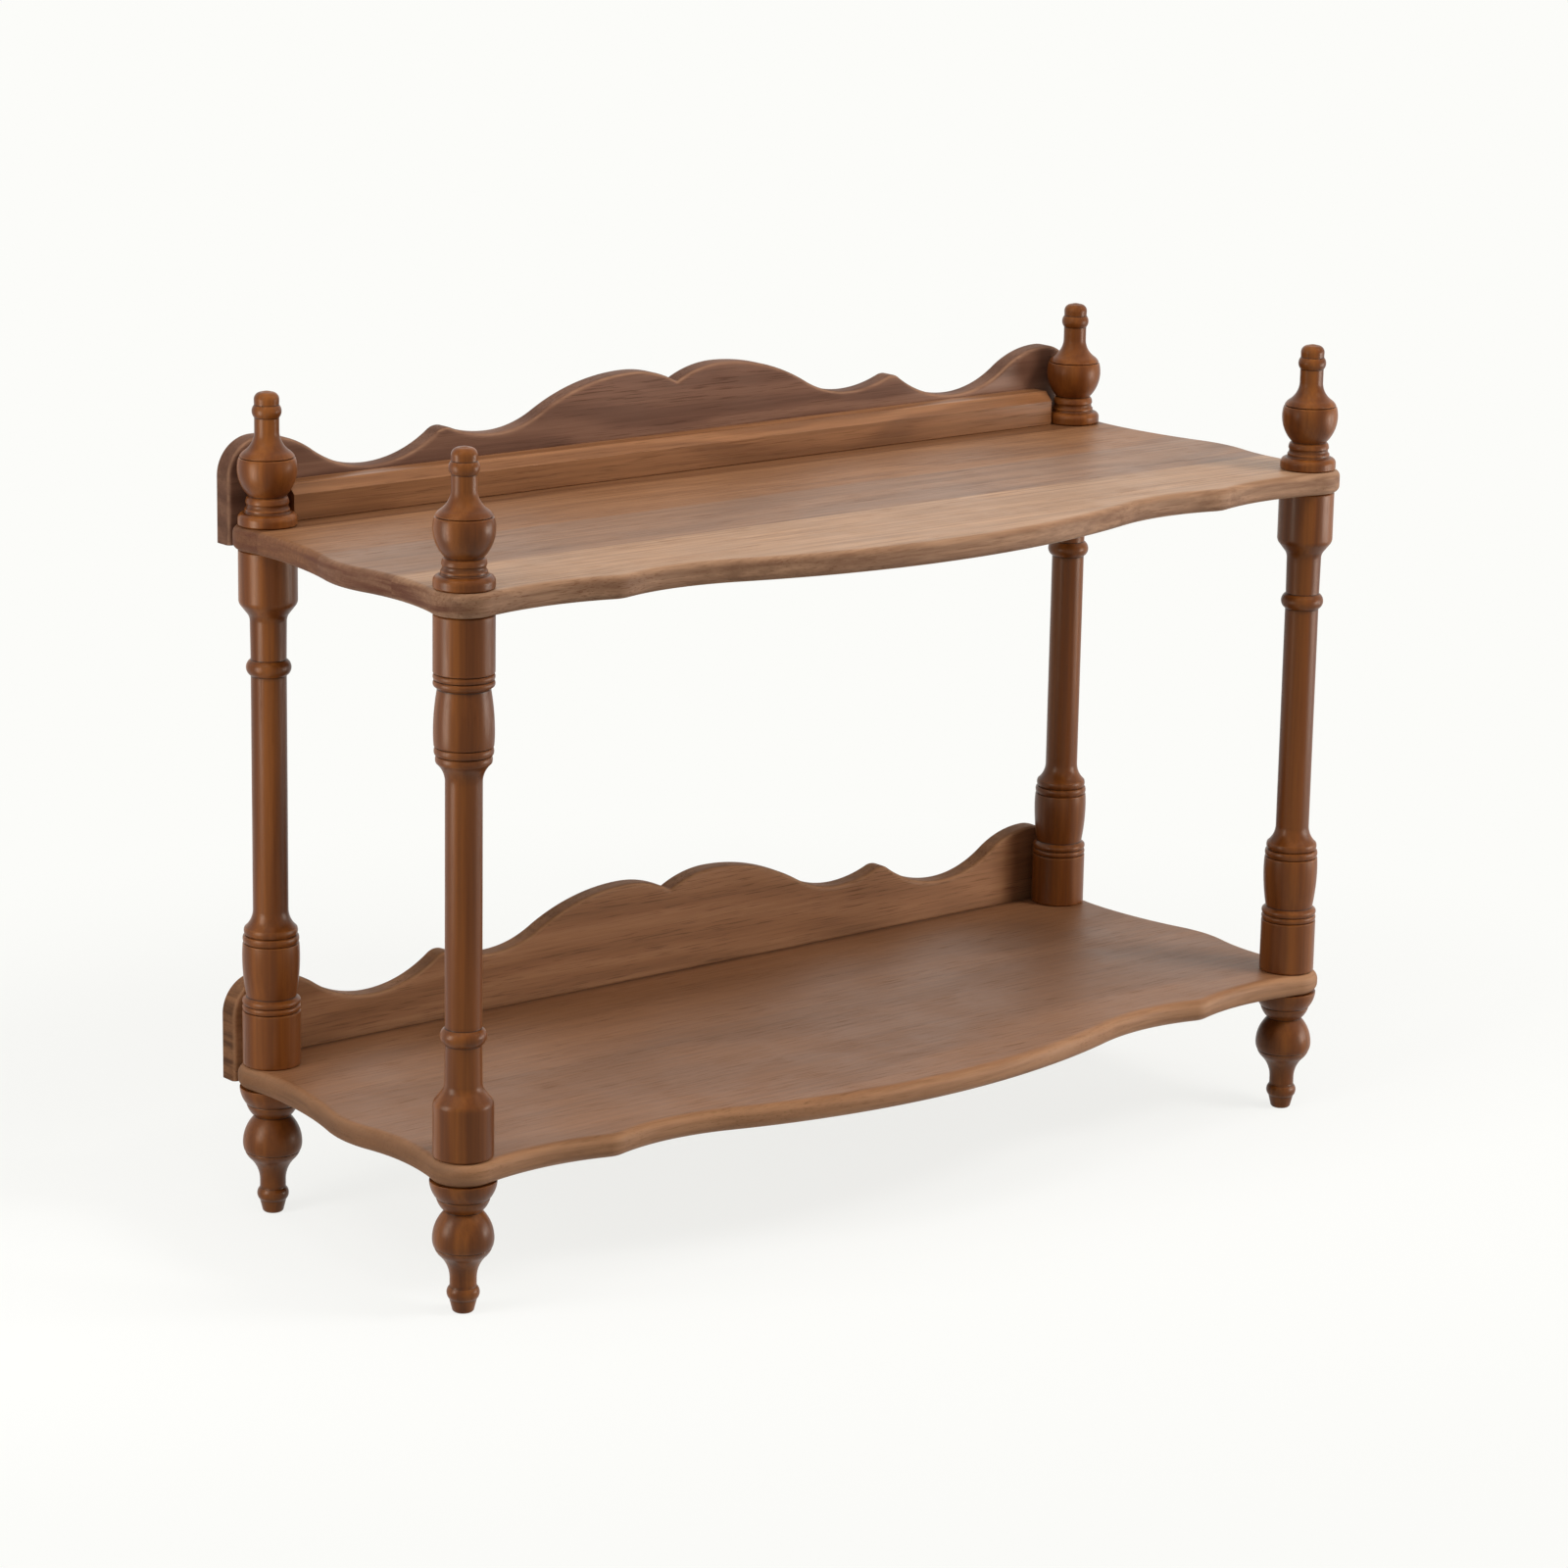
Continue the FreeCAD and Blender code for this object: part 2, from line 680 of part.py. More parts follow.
def board_half(outline):
    """Right half of a back board, along its foot, up its end and in to the notch."""
    half = back_x + dim.board_overhang
    peak_x = half - dim.board_end_round
    outer_x = peak_x - dim.outer_dip_station
    bump_x = outer_x - dim.board_bump_station
    inner_x = bump_x - dim.inner_dip_station
    outer_z = dim.board_end_height - dim.outer_dip_depth
    bump_z = outer_z + dim.board_bump_rise
    inner_z = bump_z - dim.inner_dip_depth
    hump_z = inner_z + dim.hump_rise
    outline.line(half, ZERO)
    outline.line(half, dim.board_end_height - dim.board_end_round)
    outline.arc(peak_x, dim.board_end_height, dim.board_end_round, LEFT_TURN)
    outline.wave(outer_x, outer_z, "x", LEFT_TURN, near=dim.board_end_crest_radius)
    outline.wave(bump_x, bump_z, "x", RIGHT_TURN, far=dim.board_bump_radius)
    outline.wave(inner_x, inner_z, "x", LEFT_TURN, near=dim.board_bump_radius)
    outline.wave(dim.hump_station, hump_z, "x", RIGHT_TURN, far=dim.hump_radius)
    outline.wave(ZERO, hump_z - dim.notch_depth, "x", LEFT_TURN, far=dim.notch_radius)


def mirrored(half):
    """Whole outline from a right half that starts on the middle line, with its left twin."""
    whole = Outline(*half.start)
    whole.edges = list(half.edges)
    if half.x.number > 0:
        whole.line(-half.x, half.y)
    origin = Edge(tuple(size.number for size in half.start), *half.start)
    other_end = {"start": "end", "end": "start", None: None}
    for earlier, edge in reversed(list(zip([origin] + half.edges, half.edges))):
        twin = replace(edge, end=(-earlier.end[0], earlier.end[1]), y=earlier.y, flows=earlier.flows,
                       x=None if earlier.x is None else -earlier.x, square=other_end[edge.square])
        whole.edges.append(twin)
    whole.x, whole.y = half.start
    return whole


# Heights and places of the pieces

foot_height = foot_outside().y
post_base_z = foot_height + dim.shelf_thickness
upper_shelf_z = post_base_z + dim.post_length
finial_z = upper_shelf_z + dim.shelf_thickness

board_screw_reach = back_x - dim.screw_end_margin
board_screw_pitch = board_screw_reach * 2 / (BOARD_SCREWS - 1)
board_screw_x = [board_screw_pitch * index - board_screw_reach for index in range(BOARD_SCREWS)]
rail_screw_x = [x + board_screw_pitch / 2 for x in board_screw_x[:-1]]
rail_half_length = back_x - dim.finial_disc_radius - dim.rail_end_gap
rail_front_y = back_edge_y - dim.rail_depth
rail_screw_y = back_edge_y - dim.rail_depth / 2
screw_hole = dim.screw_radius + dim.screw_clearance
screw_seat = dim.screw_head_radius + dim.screw_clearance
shelf_middle = dim.shelf_thickness / 2


# Pieces

def trim_back(body):
    """Cut the back of a shelf straight, to seat the board."""
    before = body.Shape.Volume
    side = back_x + lobe_radius
    waste = Outline(-side, back_edge_y)
    waste.line(side, back_edge_y)
    waste.line(side, back_y + lobe_radius)
    waste.line(-side, back_y + lobe_radius)
    cut = body.newObject("PartDesign::Pocket", "StraightBack")
    cut.Profile = waste.draw(body, "BackWaste", "XY_Plane")
    cut.Reversed = True
    bind(cut, Length=dim.shelf_thickness)
    doc.recompute()
    if body.Shape.Volume >= before:
        raise RuntimeError(f"{body.Label}: the back was not trimmed")


def make_shelf(label, level, edge_flat):
    """Serpentine panel with a rounded edge, drilled for the studs and the board screws."""
    half = Outline(ZERO, front_y - front_bow_reach)
    shelf_half(half)
    body = pad_body(label, mirrored(half), "XY_Plane", dim.shelf_thickness)
    ease_edges(body, "Fillet", lambda edge: edge.BoundBox.ZLength < TINY,
               Radius=(dim.shelf_thickness - edge_flat) / 2)
    trim_back(body)
    drill(body, "StudHoles", "XY_Plane", ZERO, list(CORNERS.values()),
          dim.stud_radius + dim.stud_hole_clearance, dim.shelf_thickness)
    drill(body, "BoardScrewHoles", "XZ_Plane", -back_edge_y,
          [(x, shelf_middle) for x in board_screw_x], screw_hole,
          dim.board_screw_length - dim.board_thickness + dim.screw_clearance)
    place(body, ZERO, ZERO, level)
    return body


def make_board(label, level):
    """Scalloped back board with eased arrises and countersunk holes along its foot."""
    half = Outline(ZERO, ZERO)
    board_half(half)
    body = pad_body(label, mirrored(half), "XZ_Plane", dim.board_thickness, backward=True)

    def above_foot(edge):
        return edge.BoundBox.YLength < TINY < edge.BoundBox.ZMax

    ease_edges(body, "Fillet", above_foot, Radius=dim.board_arris)
    drill(body, "ScrewHoles", "XZ_Plane", -dim.board_thickness,
          [(x, shelf_middle) for x in board_screw_x], screw_hole,
          dim.board_thickness, countersink=screw_seat)
    place(body, ZERO, back_edge_y, level)
    return body


def make_rail(label):
    """Straight rail on the upper shelf, against the back board, with a bevelled front arris."""
    outline = Outline(-rail_half_length, rail_front_y)
    outline.line(rail_half_length, rail_front_y)
    outline.line(rail_half_length, back_edge_y)
    outline.line(-rail_half_length, back_edge_y)
    body = pad_body(label, outline, "XY_Plane", dim.rail_height)

    def top_front(edge):
        box = edge.BoundBox
        return box.ZMin > TINY and box.YMax < rail_front_y.number + TINY

    ease_edges(body, "Chamfer", top_front, Size=dim.rail_bevel)
    drill(body, "ScrewHoles", "XY_Plane", ZERO, [(x, rail_screw_y) for x in rail_screw_x], screw_hole,
          dim.rail_screw_length - dim.shelf_thickness + dim.screw_clearance)
    place(body, ZERO, ZERO, finial_z)
    return body


def make_group(label, profile, places, tilt=0):
    """Identical fasteners in one node, each a solid of its own."""
    members = []
    for number, spot in enumerate(places, start=1):
        member = turn_body(f"{label}_{number}", profile)
        place(member, *spot, tilt)
        members.append(member)
    group = doc.addObject("Part::Compound", label)
    group.Label = label
    group.Links = members
    return group


def make_turned_set():
    """A post, a foot and a finial at each corner."""
    pieces = []
    for corner, (x, y) in CORNERS.items():
        post = turn_body(f"{corner}_post", post_profile())
        if corner == TURNED_OVER_POST:
            place(post, x, y, upper_shelf_z, HALF_TURN)
        else:
            place(post, x, y, post_base_z)
        foot = turn_body(f"{corner}_foot", foot_profile())
        place(foot, x, y, ZERO)
        finial = turn_body(f"{corner}_finial", finial_profile())
        place(finial, x, y, finial_z)
        pieces += [post, foot, finial]
    return pieces


def make_fasteners():
    """Studs and inserts at the corners, screws along the boards and the rail."""
    at_corners = list(CORNERS.values())
    board_back_y = back_edge_y + dim.board_thickness
    groups = {
        "finial_studs": (stud_profile(), upper_shelf_z - dim.insert_length),
        "foot_studs": (stud_profile(), foot_height - dim.stud_grip),
        "post_top_inserts": (insert_profile(), upper_shelf_z - dim.insert_length),
        "post_bottom_inserts": (insert_profile(), post_base_z),
    }
    pieces = [make_group(label, profile, [(x, y, level) for x, y in at_corners])
              for label, (profile, level) in groups.items()]
    for tier, level in (("upper", upper_shelf_z), ("lower", foot_height)):
        spots = [(x, board_back_y, level + shelf_middle) for x in board_screw_x]
        label = f"{tier}_back_board_screws"
        pieces.append(make_group(label, screw_profile(dim.board_screw_length), spots, QUARTER_TURN))
    spots = [(x, rail_screw_y, upper_shelf_z) for x in rail_screw_x]
    pieces.append(make_group("gallery_rail_screws", screw_profile(dim.rail_screw_length), spots))
    return pieces


def make_pieces():
    """Every piece of the shelf."""
    upper_shelf = make_shelf("upper_shelf", upper_shelf_z, dim.upper_edge_flat)
    drill(upper_shelf, "RailScrewHoles", "XY_Plane", ZERO, [(x, rail_screw_y) for x in rail_screw_x],
          screw_hole, dim.shelf_thickness, countersink=screw_seat)
    flat = [
        make_shelf("lower_shelf", foot_height, dim.lower_edge_flat),
        upper_shelf,
        make_board("upper_back_board", upper_shelf_z),
        make_board("lower_back_board", foot_height),
        make_rail("gallery_rail"),
    ]
    return flat + make_turned_set() + make_fasteners()


def check(pieces):
    """Stop if any object failed or any piece has no sound shape."""
    for item in doc.Objects:
        if {"Invalid", "Error"} & set(item.State):
            raise RuntimeError(f"{item.Name} failed: {item.State}")
    for piece in pieces:
        if piece.Shape.isNull() or not piece.Shape.isValid() or not piece.Shape.Solids:
            raise RuntimeError(f"{piece.Label} has no sound shape")


def write(pieces):
    """Write one file for each piece."""
    os.makedirs("parts", exist_ok=True)
    for piece in pieces:
        piece.Shape.exportStep(f"parts/{piece.Label}.step")
        print(f"{piece.Label}: {len(piece.Shape.Solids)} solids, {piece.Shape.Volume:.0f} mm3")


all_pieces = make_pieces()
doc.recompute()
check(all_pieces)
write(all_pieces)
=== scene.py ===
"""Looks of a tabletop shelf in satin walnut: turned posts, serpentine shelves, scalloped boards."""
import logging
import math
from dataclasses import dataclass
from enum import Enum
from typing import Optional, Union

import bpy
import numpy as np
from mathutils import Matrix, Vector
from numpy.typing import NDArray


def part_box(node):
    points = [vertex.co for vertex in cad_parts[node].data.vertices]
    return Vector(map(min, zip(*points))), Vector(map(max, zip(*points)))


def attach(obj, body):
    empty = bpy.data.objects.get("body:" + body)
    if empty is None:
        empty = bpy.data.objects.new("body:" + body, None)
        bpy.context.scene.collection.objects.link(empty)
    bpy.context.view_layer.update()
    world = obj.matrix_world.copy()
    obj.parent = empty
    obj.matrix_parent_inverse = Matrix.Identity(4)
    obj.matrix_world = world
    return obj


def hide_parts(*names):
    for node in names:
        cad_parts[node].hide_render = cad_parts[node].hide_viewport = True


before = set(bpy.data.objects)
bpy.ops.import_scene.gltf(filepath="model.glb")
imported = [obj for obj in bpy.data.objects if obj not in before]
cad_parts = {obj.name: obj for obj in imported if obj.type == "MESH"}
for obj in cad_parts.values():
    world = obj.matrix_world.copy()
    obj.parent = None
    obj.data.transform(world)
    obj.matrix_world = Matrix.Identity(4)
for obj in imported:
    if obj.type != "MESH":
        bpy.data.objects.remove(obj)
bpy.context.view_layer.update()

MM = 0.001
ROOT = "root"
# Screw heads stand this far proud of the wood, in millimetres, so that the two don't share a plane.
HEAD_STAND = 0.15
SOFTEN_REACH = 4.0
TINY = 1e-9
LOG = logging.getLogger("tabletop_shelf")

Array = NDArray[np.float64]
Line = Array
Faces = NDArray[np.int64]
Colour = tuple[float, float, float, float]
Triple = tuple[float, float, float]
Piece = bpy.types.Object
Socket = bpy.types.NodeSocket
Sockets = bpy.types.NodeOutputs
Feed = Union[Socket, float, tuple]


class Turn(Enum):
    """Way in which an arc bends as it is drawn."""

    LEFT = 1
    RIGHT = -1


class Axis(Enum):
    """Direction along which a wave lies level at its ends."""

    ACROSS = 0
    UPWARD = 1


class Plane(Enum):
    """Plane in which a panel's outline is drawn; its thickness runs square to it."""

    LEVEL = "xy"
    FACING = "xz"
    SECTION = "yz"


class Grain(Enum):
    """Turn about X, Y and Z, in degrees, that lays the fibres of the wood along a piece."""

    LENGTHWISE = (0.0, 0.0, 0.0)
    UPRIGHT = (0.0, 90.0, 0.0)


def tone(red: int, green: int, blue: int) -> Colour:
    """Linear colour of a display colour.

    Each channel c = value / 255 becomes ((c + 0.055) / 1.055) ** 2.4, or c / 12.92 when dark.

    Args:
        red: display red, 0 to 255.
        green: display green, 0 to 255.
        blue: display blue, 0 to 255.

    Returns:
        Linear red, green, blue and an alpha of one.
    """
    display = np.array([red, green, blue]) / 255.0
    linear = np.where(display <= 0.04045, display / 12.92, ((display + 0.055) / 1.055) ** 2.4)
    return (*(float(value) for value in linear), 1.0)


WHITE = tone(255, 255, 255)
BLACK = tone(0, 0, 0)


def leaving_radius(run: float, rise: float) -> float:
    """Radius of an arc that leaves along its run and drifts by rise: (run² + rise²) / (2 rise)."""
    return (run * run + rise * rise) / (2.0 * rise)


class Trace:
    """A flat line in millimetres, drawn run by run from straight runs and arcs."""

    ARC_STEP = 0.25

    def __init__(self, x: float, y: float) -> None:
        """Start at a point."""
        self.runs: list[Line] = [np.array([[x, y]], float)]

    @property
    def end(self) -> Line:
        """The last point drawn."""
        return self.runs[-1][-1]

    def line(self, x: float, y: float) -> None:
        """Draw a straight run to a point."""
        self.runs.append(np.array([[x, y]], float))

    def arc(self, x: float, y: float, radius: float, turn: Turn) -> None:
        """Draw an arc to a point.

        The centre lies beside the middle of the chord, sqrt(radius² - chord² / 4) to the side of
        the turn; the points are centre + radius (cos a, sin a) for even angles a.

        Args:
            x: end point, across.
            y: end point, up.
            radius: radius of the arc.
            turn: way in which it bends.
        """
        start = self.end
        finish = np.array([x, y], float)
        chord = finish - start
        length = float(np.hypot(*chord))
        reach = math.sqrt(max(radius * radius - length * length / 4.0, 0.0)) / length * turn.value
        centre = (start + finish) / 2.0 + reach * np.array([-chord[1], chord[0]])
        first, last = (math.atan2(*(point - centre)[::-1]) for point in (start, finish))
        sweep = (last - first) * turn.value % (2.0 * math.pi)
        count = max(3, math.ceil(radius * sweep / self.ARC_STEP))
        angles = first + turn.value * sweep * np.arange(1, count + 1) / count
        self.runs.append(centre + radius * np.stack([np.cos(angles), np.sin(angles)], axis=1))

    def wave(self, x: float, y: float, along: Axis, turn: Turn,
             near: Optional[float] = None, far: Optional[float] = None) -> None:
        """Draw a smooth S of two arcs that lies along an axis at both ends.

        The two radii add up to leaving_radius(run, rise), and the arcs meet at the share of the
        way that the first radius has of that sum.

        Args:
            x: end point, across.
            y: end point, up.
            along: axis to which both ends are level.
            turn: way in which the first arc bends.
            near: radius of the first arc, or None.
            far: radius of the second arc, or None where near is given.
        """
        start = self.end.copy()
        shift = np.array([x, y], float) - start
        both = leaving_radius(abs(shift[along.value]), abs(shift[1 - along.value]))
        first = both - far if near is None else near
        middle = start + shift * first / both
        self.arc(*middle, first, turn)
        self.arc(x, y, both - first, Turn(-turn.value))

    def points(self) -> Line:
        """All points drawn, as rows."""
        return np.concatenate(self.runs)


class Turning(Trace):
    """Half profile of a turned piece, drawn upwards: across is the radius, up is the height."""

    GROOVE_WIDTH = 0.8
    GROOVE_DEPTH = 0.6
    BEAD_BULGE = 0.35
    ARRIS = 0.8

    @classmethod
    def standing(cls, radius: float) -> "Turning":
        """Start at the bottom pole and go out over an eased arris to a radius.

        Args:
            radius: radius above the arris.

        Returns:
            The profile so far.
        """
        turning = cls(0.0, 0.0)
        turning.line(radius - cls.ARRIS, 0.0)
        turning.rise(radius, cls.ARRIS)
        return turning

    def rise(self, radius: float, height: float) -> None:
        """Go straight up to a radius."""
        self.line(radius, self.end[1] + height)

    def swell(self, radius: float, height: float, curve: float, turn: Turn = Turn.LEFT) -> None:
        """Go up to a radius in an arc."""
        self.arc(radius, self.end[1] + height, curve, turn)

    def ease(self, radius: float, height: float, turn: Turn = Turn.LEFT) -> None:
        """Go up to a radius in an arc that is upright at one of its ends."""
        self.swell(radius, height, leaving_radius(height, abs(radius - self.end[0])), turn)

    def bead(self, width: float, bulge: float) -> None:
        """Go up over a ring that stands out by bulge."""
        self.swell(self.end[0], width, leaving_radius(width / 2.0, bulge))

    def groove(self, radius: float) -> None:
        """Cut a fine V that ends at a radius."""
        self.rise(radius - self.GROOVE_DEPTH, self.GROOVE_WIDTH / 2.0)
        self.rise(radius, self.GROOVE_WIDTH / 2.0)


def along_line(line: Line) -> Array:
    """Distance of each point from the first, measured along the line."""
    return np.concatenate([[0.0], np.cumsum(np.hypot(*np.diff(line, axis=0).T))])


def evenly(line: Line, step: float) -> Line:
    """Put points at even distances along a line, from its first point to its last.

    Args:
        line: points of the line.
        step: distance to aim for.

    Returns:
        The new points.
    """
    distance = along_line(line)
    stations = np.linspace(0.0, distance[-1], max(2, round(distance[-1] / step)) + 1)
    return np.stack([np.interp(stations, distance, part) for part in line.T], axis=1)


def soften(line: Line, spread: float, step: float) -> Line:
    """Ease the corners of an open line as sanding does.

    Even points are averaged with weights exp(-s² / (2 spread²)) over the distance s, out to
    SOFTEN_REACH spreads; past its ends the line goes on as its own point reflection, so both end
    points stay.

    Args:
        line: points of the line.
        spread: width of the averaging.
        step: distance between the points.

    Returns:
        The eased line, at even steps.
    """
    even = evenly(line, step)
    reach = math.ceil(SOFTEN_REACH * spread / step)
    weights = np.exp(-0.5 * (np.arange(-reach, reach + 1) * step / spread) ** 2)
    before = 2.0 * even[0] - even[reach:0:-1]
    after = 2.0 * even[-1] - even[-2:-reach - 2:-1]
    padded = np.concatenate([before, even, after])
    parts = [np.convolve(part, weights / weights.sum(), "valid") for part in padded.T]
    return np.stack(parts, axis=1)


def bending(line: Line) -> Array:
    """Signed curvature x'y'' - y'x'' over speed cubed; an outward bulge of a profile is positive.

    Args:
        line: points at even steps.

    Returns:
        The curvature at each point.
    """
    first = np.gradient(line, axis=0)
    second = np.gradient(first, axis=0)
    speed = np.maximum(np.hypot(*first.T), TINY)
    return (first[:, 0] * second[:, 1] - first[:, 1] * second[:, 0]) / speed ** 3


def crowd(line: Line, count: int, share: float) -> Array:
    """Places along an even line, as fractional indices, that crowd where it bends.

    The density is (1 - share) spread evenly plus share spread as the root of the curvature; its
    running sum is cut into equal parts.

    Args:
        line: points at even steps.
        count: number of places.
        share: part of the places that follow the curvature.

    Returns:
        Rising fractional indices into the line, both ends included.
    """
    pull = np.sqrt(np.abs(bending(line)))
    density = (1.0 - share) / len(line) + share * pull / max(pull.sum(), TINY)
    total = np.concatenate([[0.0], np.cumsum(density[1:])])
    return np.interp(np.linspace(0.0, total[-1], count), total, np.arange(len(line)))


def new_object(name: str, data: Union[bpy.types.Mesh, bpy.types.Camera, bpy.types.Light]) -> Piece:
    """Make an object that holds the data, linked to the scene.

    Args:
        name: name of the object.
        data: its mesh, camera or lamp.

    Returns:
        The object.
    """
    made = bpy.data.objects.new(name, data)
    bpy.context.scene.collection.objects.link(made)
    return made


def make_mesh(name: str, vertices: Array, faces: list[Faces],
              **bands: Array) -> Piece:
    """Make a smooth-shaded object from whole arrays.

    Args:
        name: name of the object and its mesh.
        vertices: rows of x, y, z in millimetres.
        faces: blocks of faces, each block with one row of vertex numbers per face.
        bands: named values for each vertex, for the finish to read.

    Returns:
        The object, linked to the scene, with its place in its mesh.
    """
    mesh = bpy.data.meshes.new(name)
    sizes = np.concatenate([np.full(len(block), block.shape[1]) for block in faces])
    corners = np.concatenate([block.ravel() for block in faces])
    mesh.vertices.add(len(vertices))
    mesh.vertices.foreach_set("co", (vertices * MM).astype(np.float32).ravel())
    mesh.loops.add(len(corners))
    mesh.loops.foreach_set("vertex_index", corners.astype(np.int32))
    mesh.polygons.add(len(sizes))
    mesh.polygons.foreach_set("loop_start", (np.cumsum(sizes) - sizes).astype(np.int32))
    mesh.polygons.foreach_set("use_smooth", np.ones(len(sizes), bool))
    for band, values in bands.items():
        layer = mesh.attributes.new(band, "FLOAT", "POINT")
        layer.data.foreach_set("value", values.astype(np.float32))
    mesh.update(calc_edges=True)
    return new_object(name, mesh)


def ring_grid(rings: int, spokes: int, start: int = 0, closed: bool = True) -> Faces:
    """Quads between neighbouring rings of a grid whose vertices are numbered ring by ring.

    Args:
        rings: number of rings.
        spokes: vertices in a ring.
        start: number of the first vertex.
        closed: whether each ring closes on itself.

    Returns:
        Four vertex numbers per quad.
    """
    across = spokes if closed else spokes - 1
    ring, spoke = np.meshgrid(np.arange(rings - 1), np.arange(across), indexing="ij")
    here = start + ring * spokes + spoke
    beside = start + ring * spokes + (spoke + 1) % spokes
    return np.stack([here, beside, beside + spokes, here + spokes], axis=-1).reshape(-1, 4)


def capped_rings(rings: int, spokes: int) -> list[Faces]:
    """Faces of a surface of closed rings between two poles.

    Args:
        rings: number of rings.
        spokes: vertices in a ring.

    Returns:
        Blocks of faces; the poles are vertices 0 and 1, and the rings follow one by one.
    """
    spoke = np.arange(spokes)
    beside = (spoke + 1) % spokes
    top = 2 + (rings - 1) * spokes
    return [
        np.stack([np.zeros_like(spoke), 2 + beside, 2 + spoke], axis=1),
        ring_grid(rings, spokes, start=2),
        np.stack([top + spoke, top + beside, np.ones_like(spoke)], axis=1),
    ]


def revolve(name: str, profile: Line, spokes: int, x: float, y: float,
            **bands: Array) -> Piece:
    """Turn a half profile about an upright axis.

    A point (r, z) becomes (x + r cos a, y + r sin a, z) for even angles a; the first and last
    points lie on the axis and close the two poles.

    Args:
        name: name of the piece.
        profile: rows of radius and height, from the bottom pole to the top pole.
        spokes: number of angles.
        x: place of the axis.
        y: place of the axis.
        bands: named values for each point of the profile.

    Returns:
        The turned piece.
    """
    angles = 2.0 * math.pi * np.arange(spokes) / spokes
    radius, height = profile[1:-1].T
    grid = np.stack([x + np.outer(radius, np.cos(angles)), y + np.outer(radius, np.sin(angles)),
                     np.repeat(height[:, None], spokes, axis=1)], axis=-1).reshape(-1, 3)
    poles = [[x, y, profile[0, 1]], [x, y, profile[-1, 1]]]
    values = {
        band: np.concatenate([line[[0, -1]], np.repeat(line[1:-1], spokes)])
        for band, line in bands.items()
    }
    return make_mesh(name, np.concatenate([poles, grid]), capped_rings(len(radius), spokes), **values)


@dataclass
class EdgeSection:
    """Rounded edge of a panel, from one flat face over the edge to the other."""

    thickness: float
    radius: float
    lip: float = 1.2
    steps: int = 9
    crispness: float = 1.0
    whole: bool = False

    def rings(self) -> tuple[Array, Array, Array]:
        """Inset, level and crest of each ring round the panel.

        For angles a from 0 to 90 degrees the inset is radius (1 - sin a) and the level is
        radius (1 - cos a); the far half is the mirror image, and a flat lip lies before and after.

        Returns:
            Inset from the outline, level through the thickness and crest, which is sin 2a to the
            power of the crispness: one at the middle of each round and zero on the faces. Where the
            whole edge is made paler, it stays one beyond the middle of the round. The crest makes
            arrises paler, as wear and as painted highlight.
        """
        angle = np.linspace(0.0, math.pi / 2.0, self.steps)
        inset = np.concatenate([[self.radius + self.lip], self.radius * (1.0 - np.sin(angle))])
        level = np.concatenate([[0.0], self.radius * (1.0 - np.cos(angle))])
        double = np.minimum(2.0 * angle, math.pi / 2.0) if self.whole else 2.0 * angle
        crest = np.concatenate([[0.0], np.clip(np.sin(double), 0.0, 1.0) ** self.crispness])
        return (np.concatenate([inset, inset[::-1]]),
                np.concatenate([level, self.thickness - level[::-1]]),
                np.concatenate([crest, crest[::-1]]))


def inward(line: Line, closed: bool) -> Line:
    """Unit normals to the left of a line that runs counter-clockwise, which point inwards.

    Args:
        line: points of the line.
        closed: whether it closes on itself.

    Returns:
        One normal per point.
    """
    if closed:
        along = np.roll(line, -1, axis=0) - np.roll(line, 1, axis=0)
    else:
        along = np.gradient(line, axis=0)
    along /= np.hypot(*along.T)[:, None]
    return np.stack([-along[:, 1], along[:, 0]], axis=1)


def rounded_panel(name: str, outline: Line, section: EdgeSection, plane: Plane, offset: Triple,
                  closed: bool = True, limit: float = math.inf, soaked_and_shaded: float = 0.0) -> Piece:
    """Make a panel with a rounded edge.

    Ring k is the outline moved inwards by inset k at level k; flat faces close the first and
    last rings, and an open outline is closed by a flat foot.

    Args:
        name: name of the piece.
        outline: counter-clockwise outline.
        section: rounded edge.
        plane: plane of the outline.
        offset: place of the outline's origin.
        closed: whether the outline closes on itself.
        limit: furthest second coordinate; what lies past it is cut off straight.
        soaked_and_shaded: value of edges that run along the fibres, against one for end grain; it darkens
            those edges, which is painted shade.

    Returns:
        The panel.
    """
    inset, level, crest = section.rings()
    rings = outline[None] + inset[:, None, None] * inward(outline, closed)[None]
    rings[..., 1] = np.minimum(rings[..., 1], limit)
    count, spokes = rings.shape[:2]
    depth = np.repeat(level[:, None], spokes, axis=1)
    first, second = rings[..., 0], rings[..., 1]
    order = {
        Plane.LEVEL: (first, second, depth),
        Plane.FACING: (first, depth, second),
        Plane.SECTION: (depth, first, second),
    }[plane]
    vertices = np.stack(order, axis=-1).reshape(-1, 3) + np.array(offset)
    number = np.arange(count * spokes).reshape(count, spokes)
    faces = [ring_grid(count, spokes, closed=closed), number[:1, ::-1], number[-1:]]
    if not closed:
        faces.append(np.concatenate([number[:, 0], number[::-1, -1]])[None])
    if plane is Plane.FACING:
        faces = [block[:, ::-1] for block in faces]
    across = np.abs(inward(outline, closed)[:, 0]) if plane is not Plane.SECTION else np.zeros(spokes)
    upright = np.clip(1.0 - inset / section.radius, 0.0, 1.0)
    # Upright edges get a darkening value, full on end grain and a share on edges along the fibres: end grain
    # partly, painted shade partly.
    end_grain = np.outer(upright, soaked_and_shaded + (1.0 - soaked_and_shaded) * across ** 2).ravel()
    return make_mesh(name, vertices, faces, crest=np.repeat(crest, spokes), hollow=np.zeros(len(vertices)),
                     end_grain=end_grain)


@dataclass(frozen=True)
class Speckle:
    """Noise with so many waves per metre along X, Y and Z, and the part of its range that counts."""

    waves: Triple
    detail: float = 2.0
    roughness: float = 0.5
    low: float = 0.3
    high: float = 0.7
    bottom: float = 0.0
    top: float = 1.0


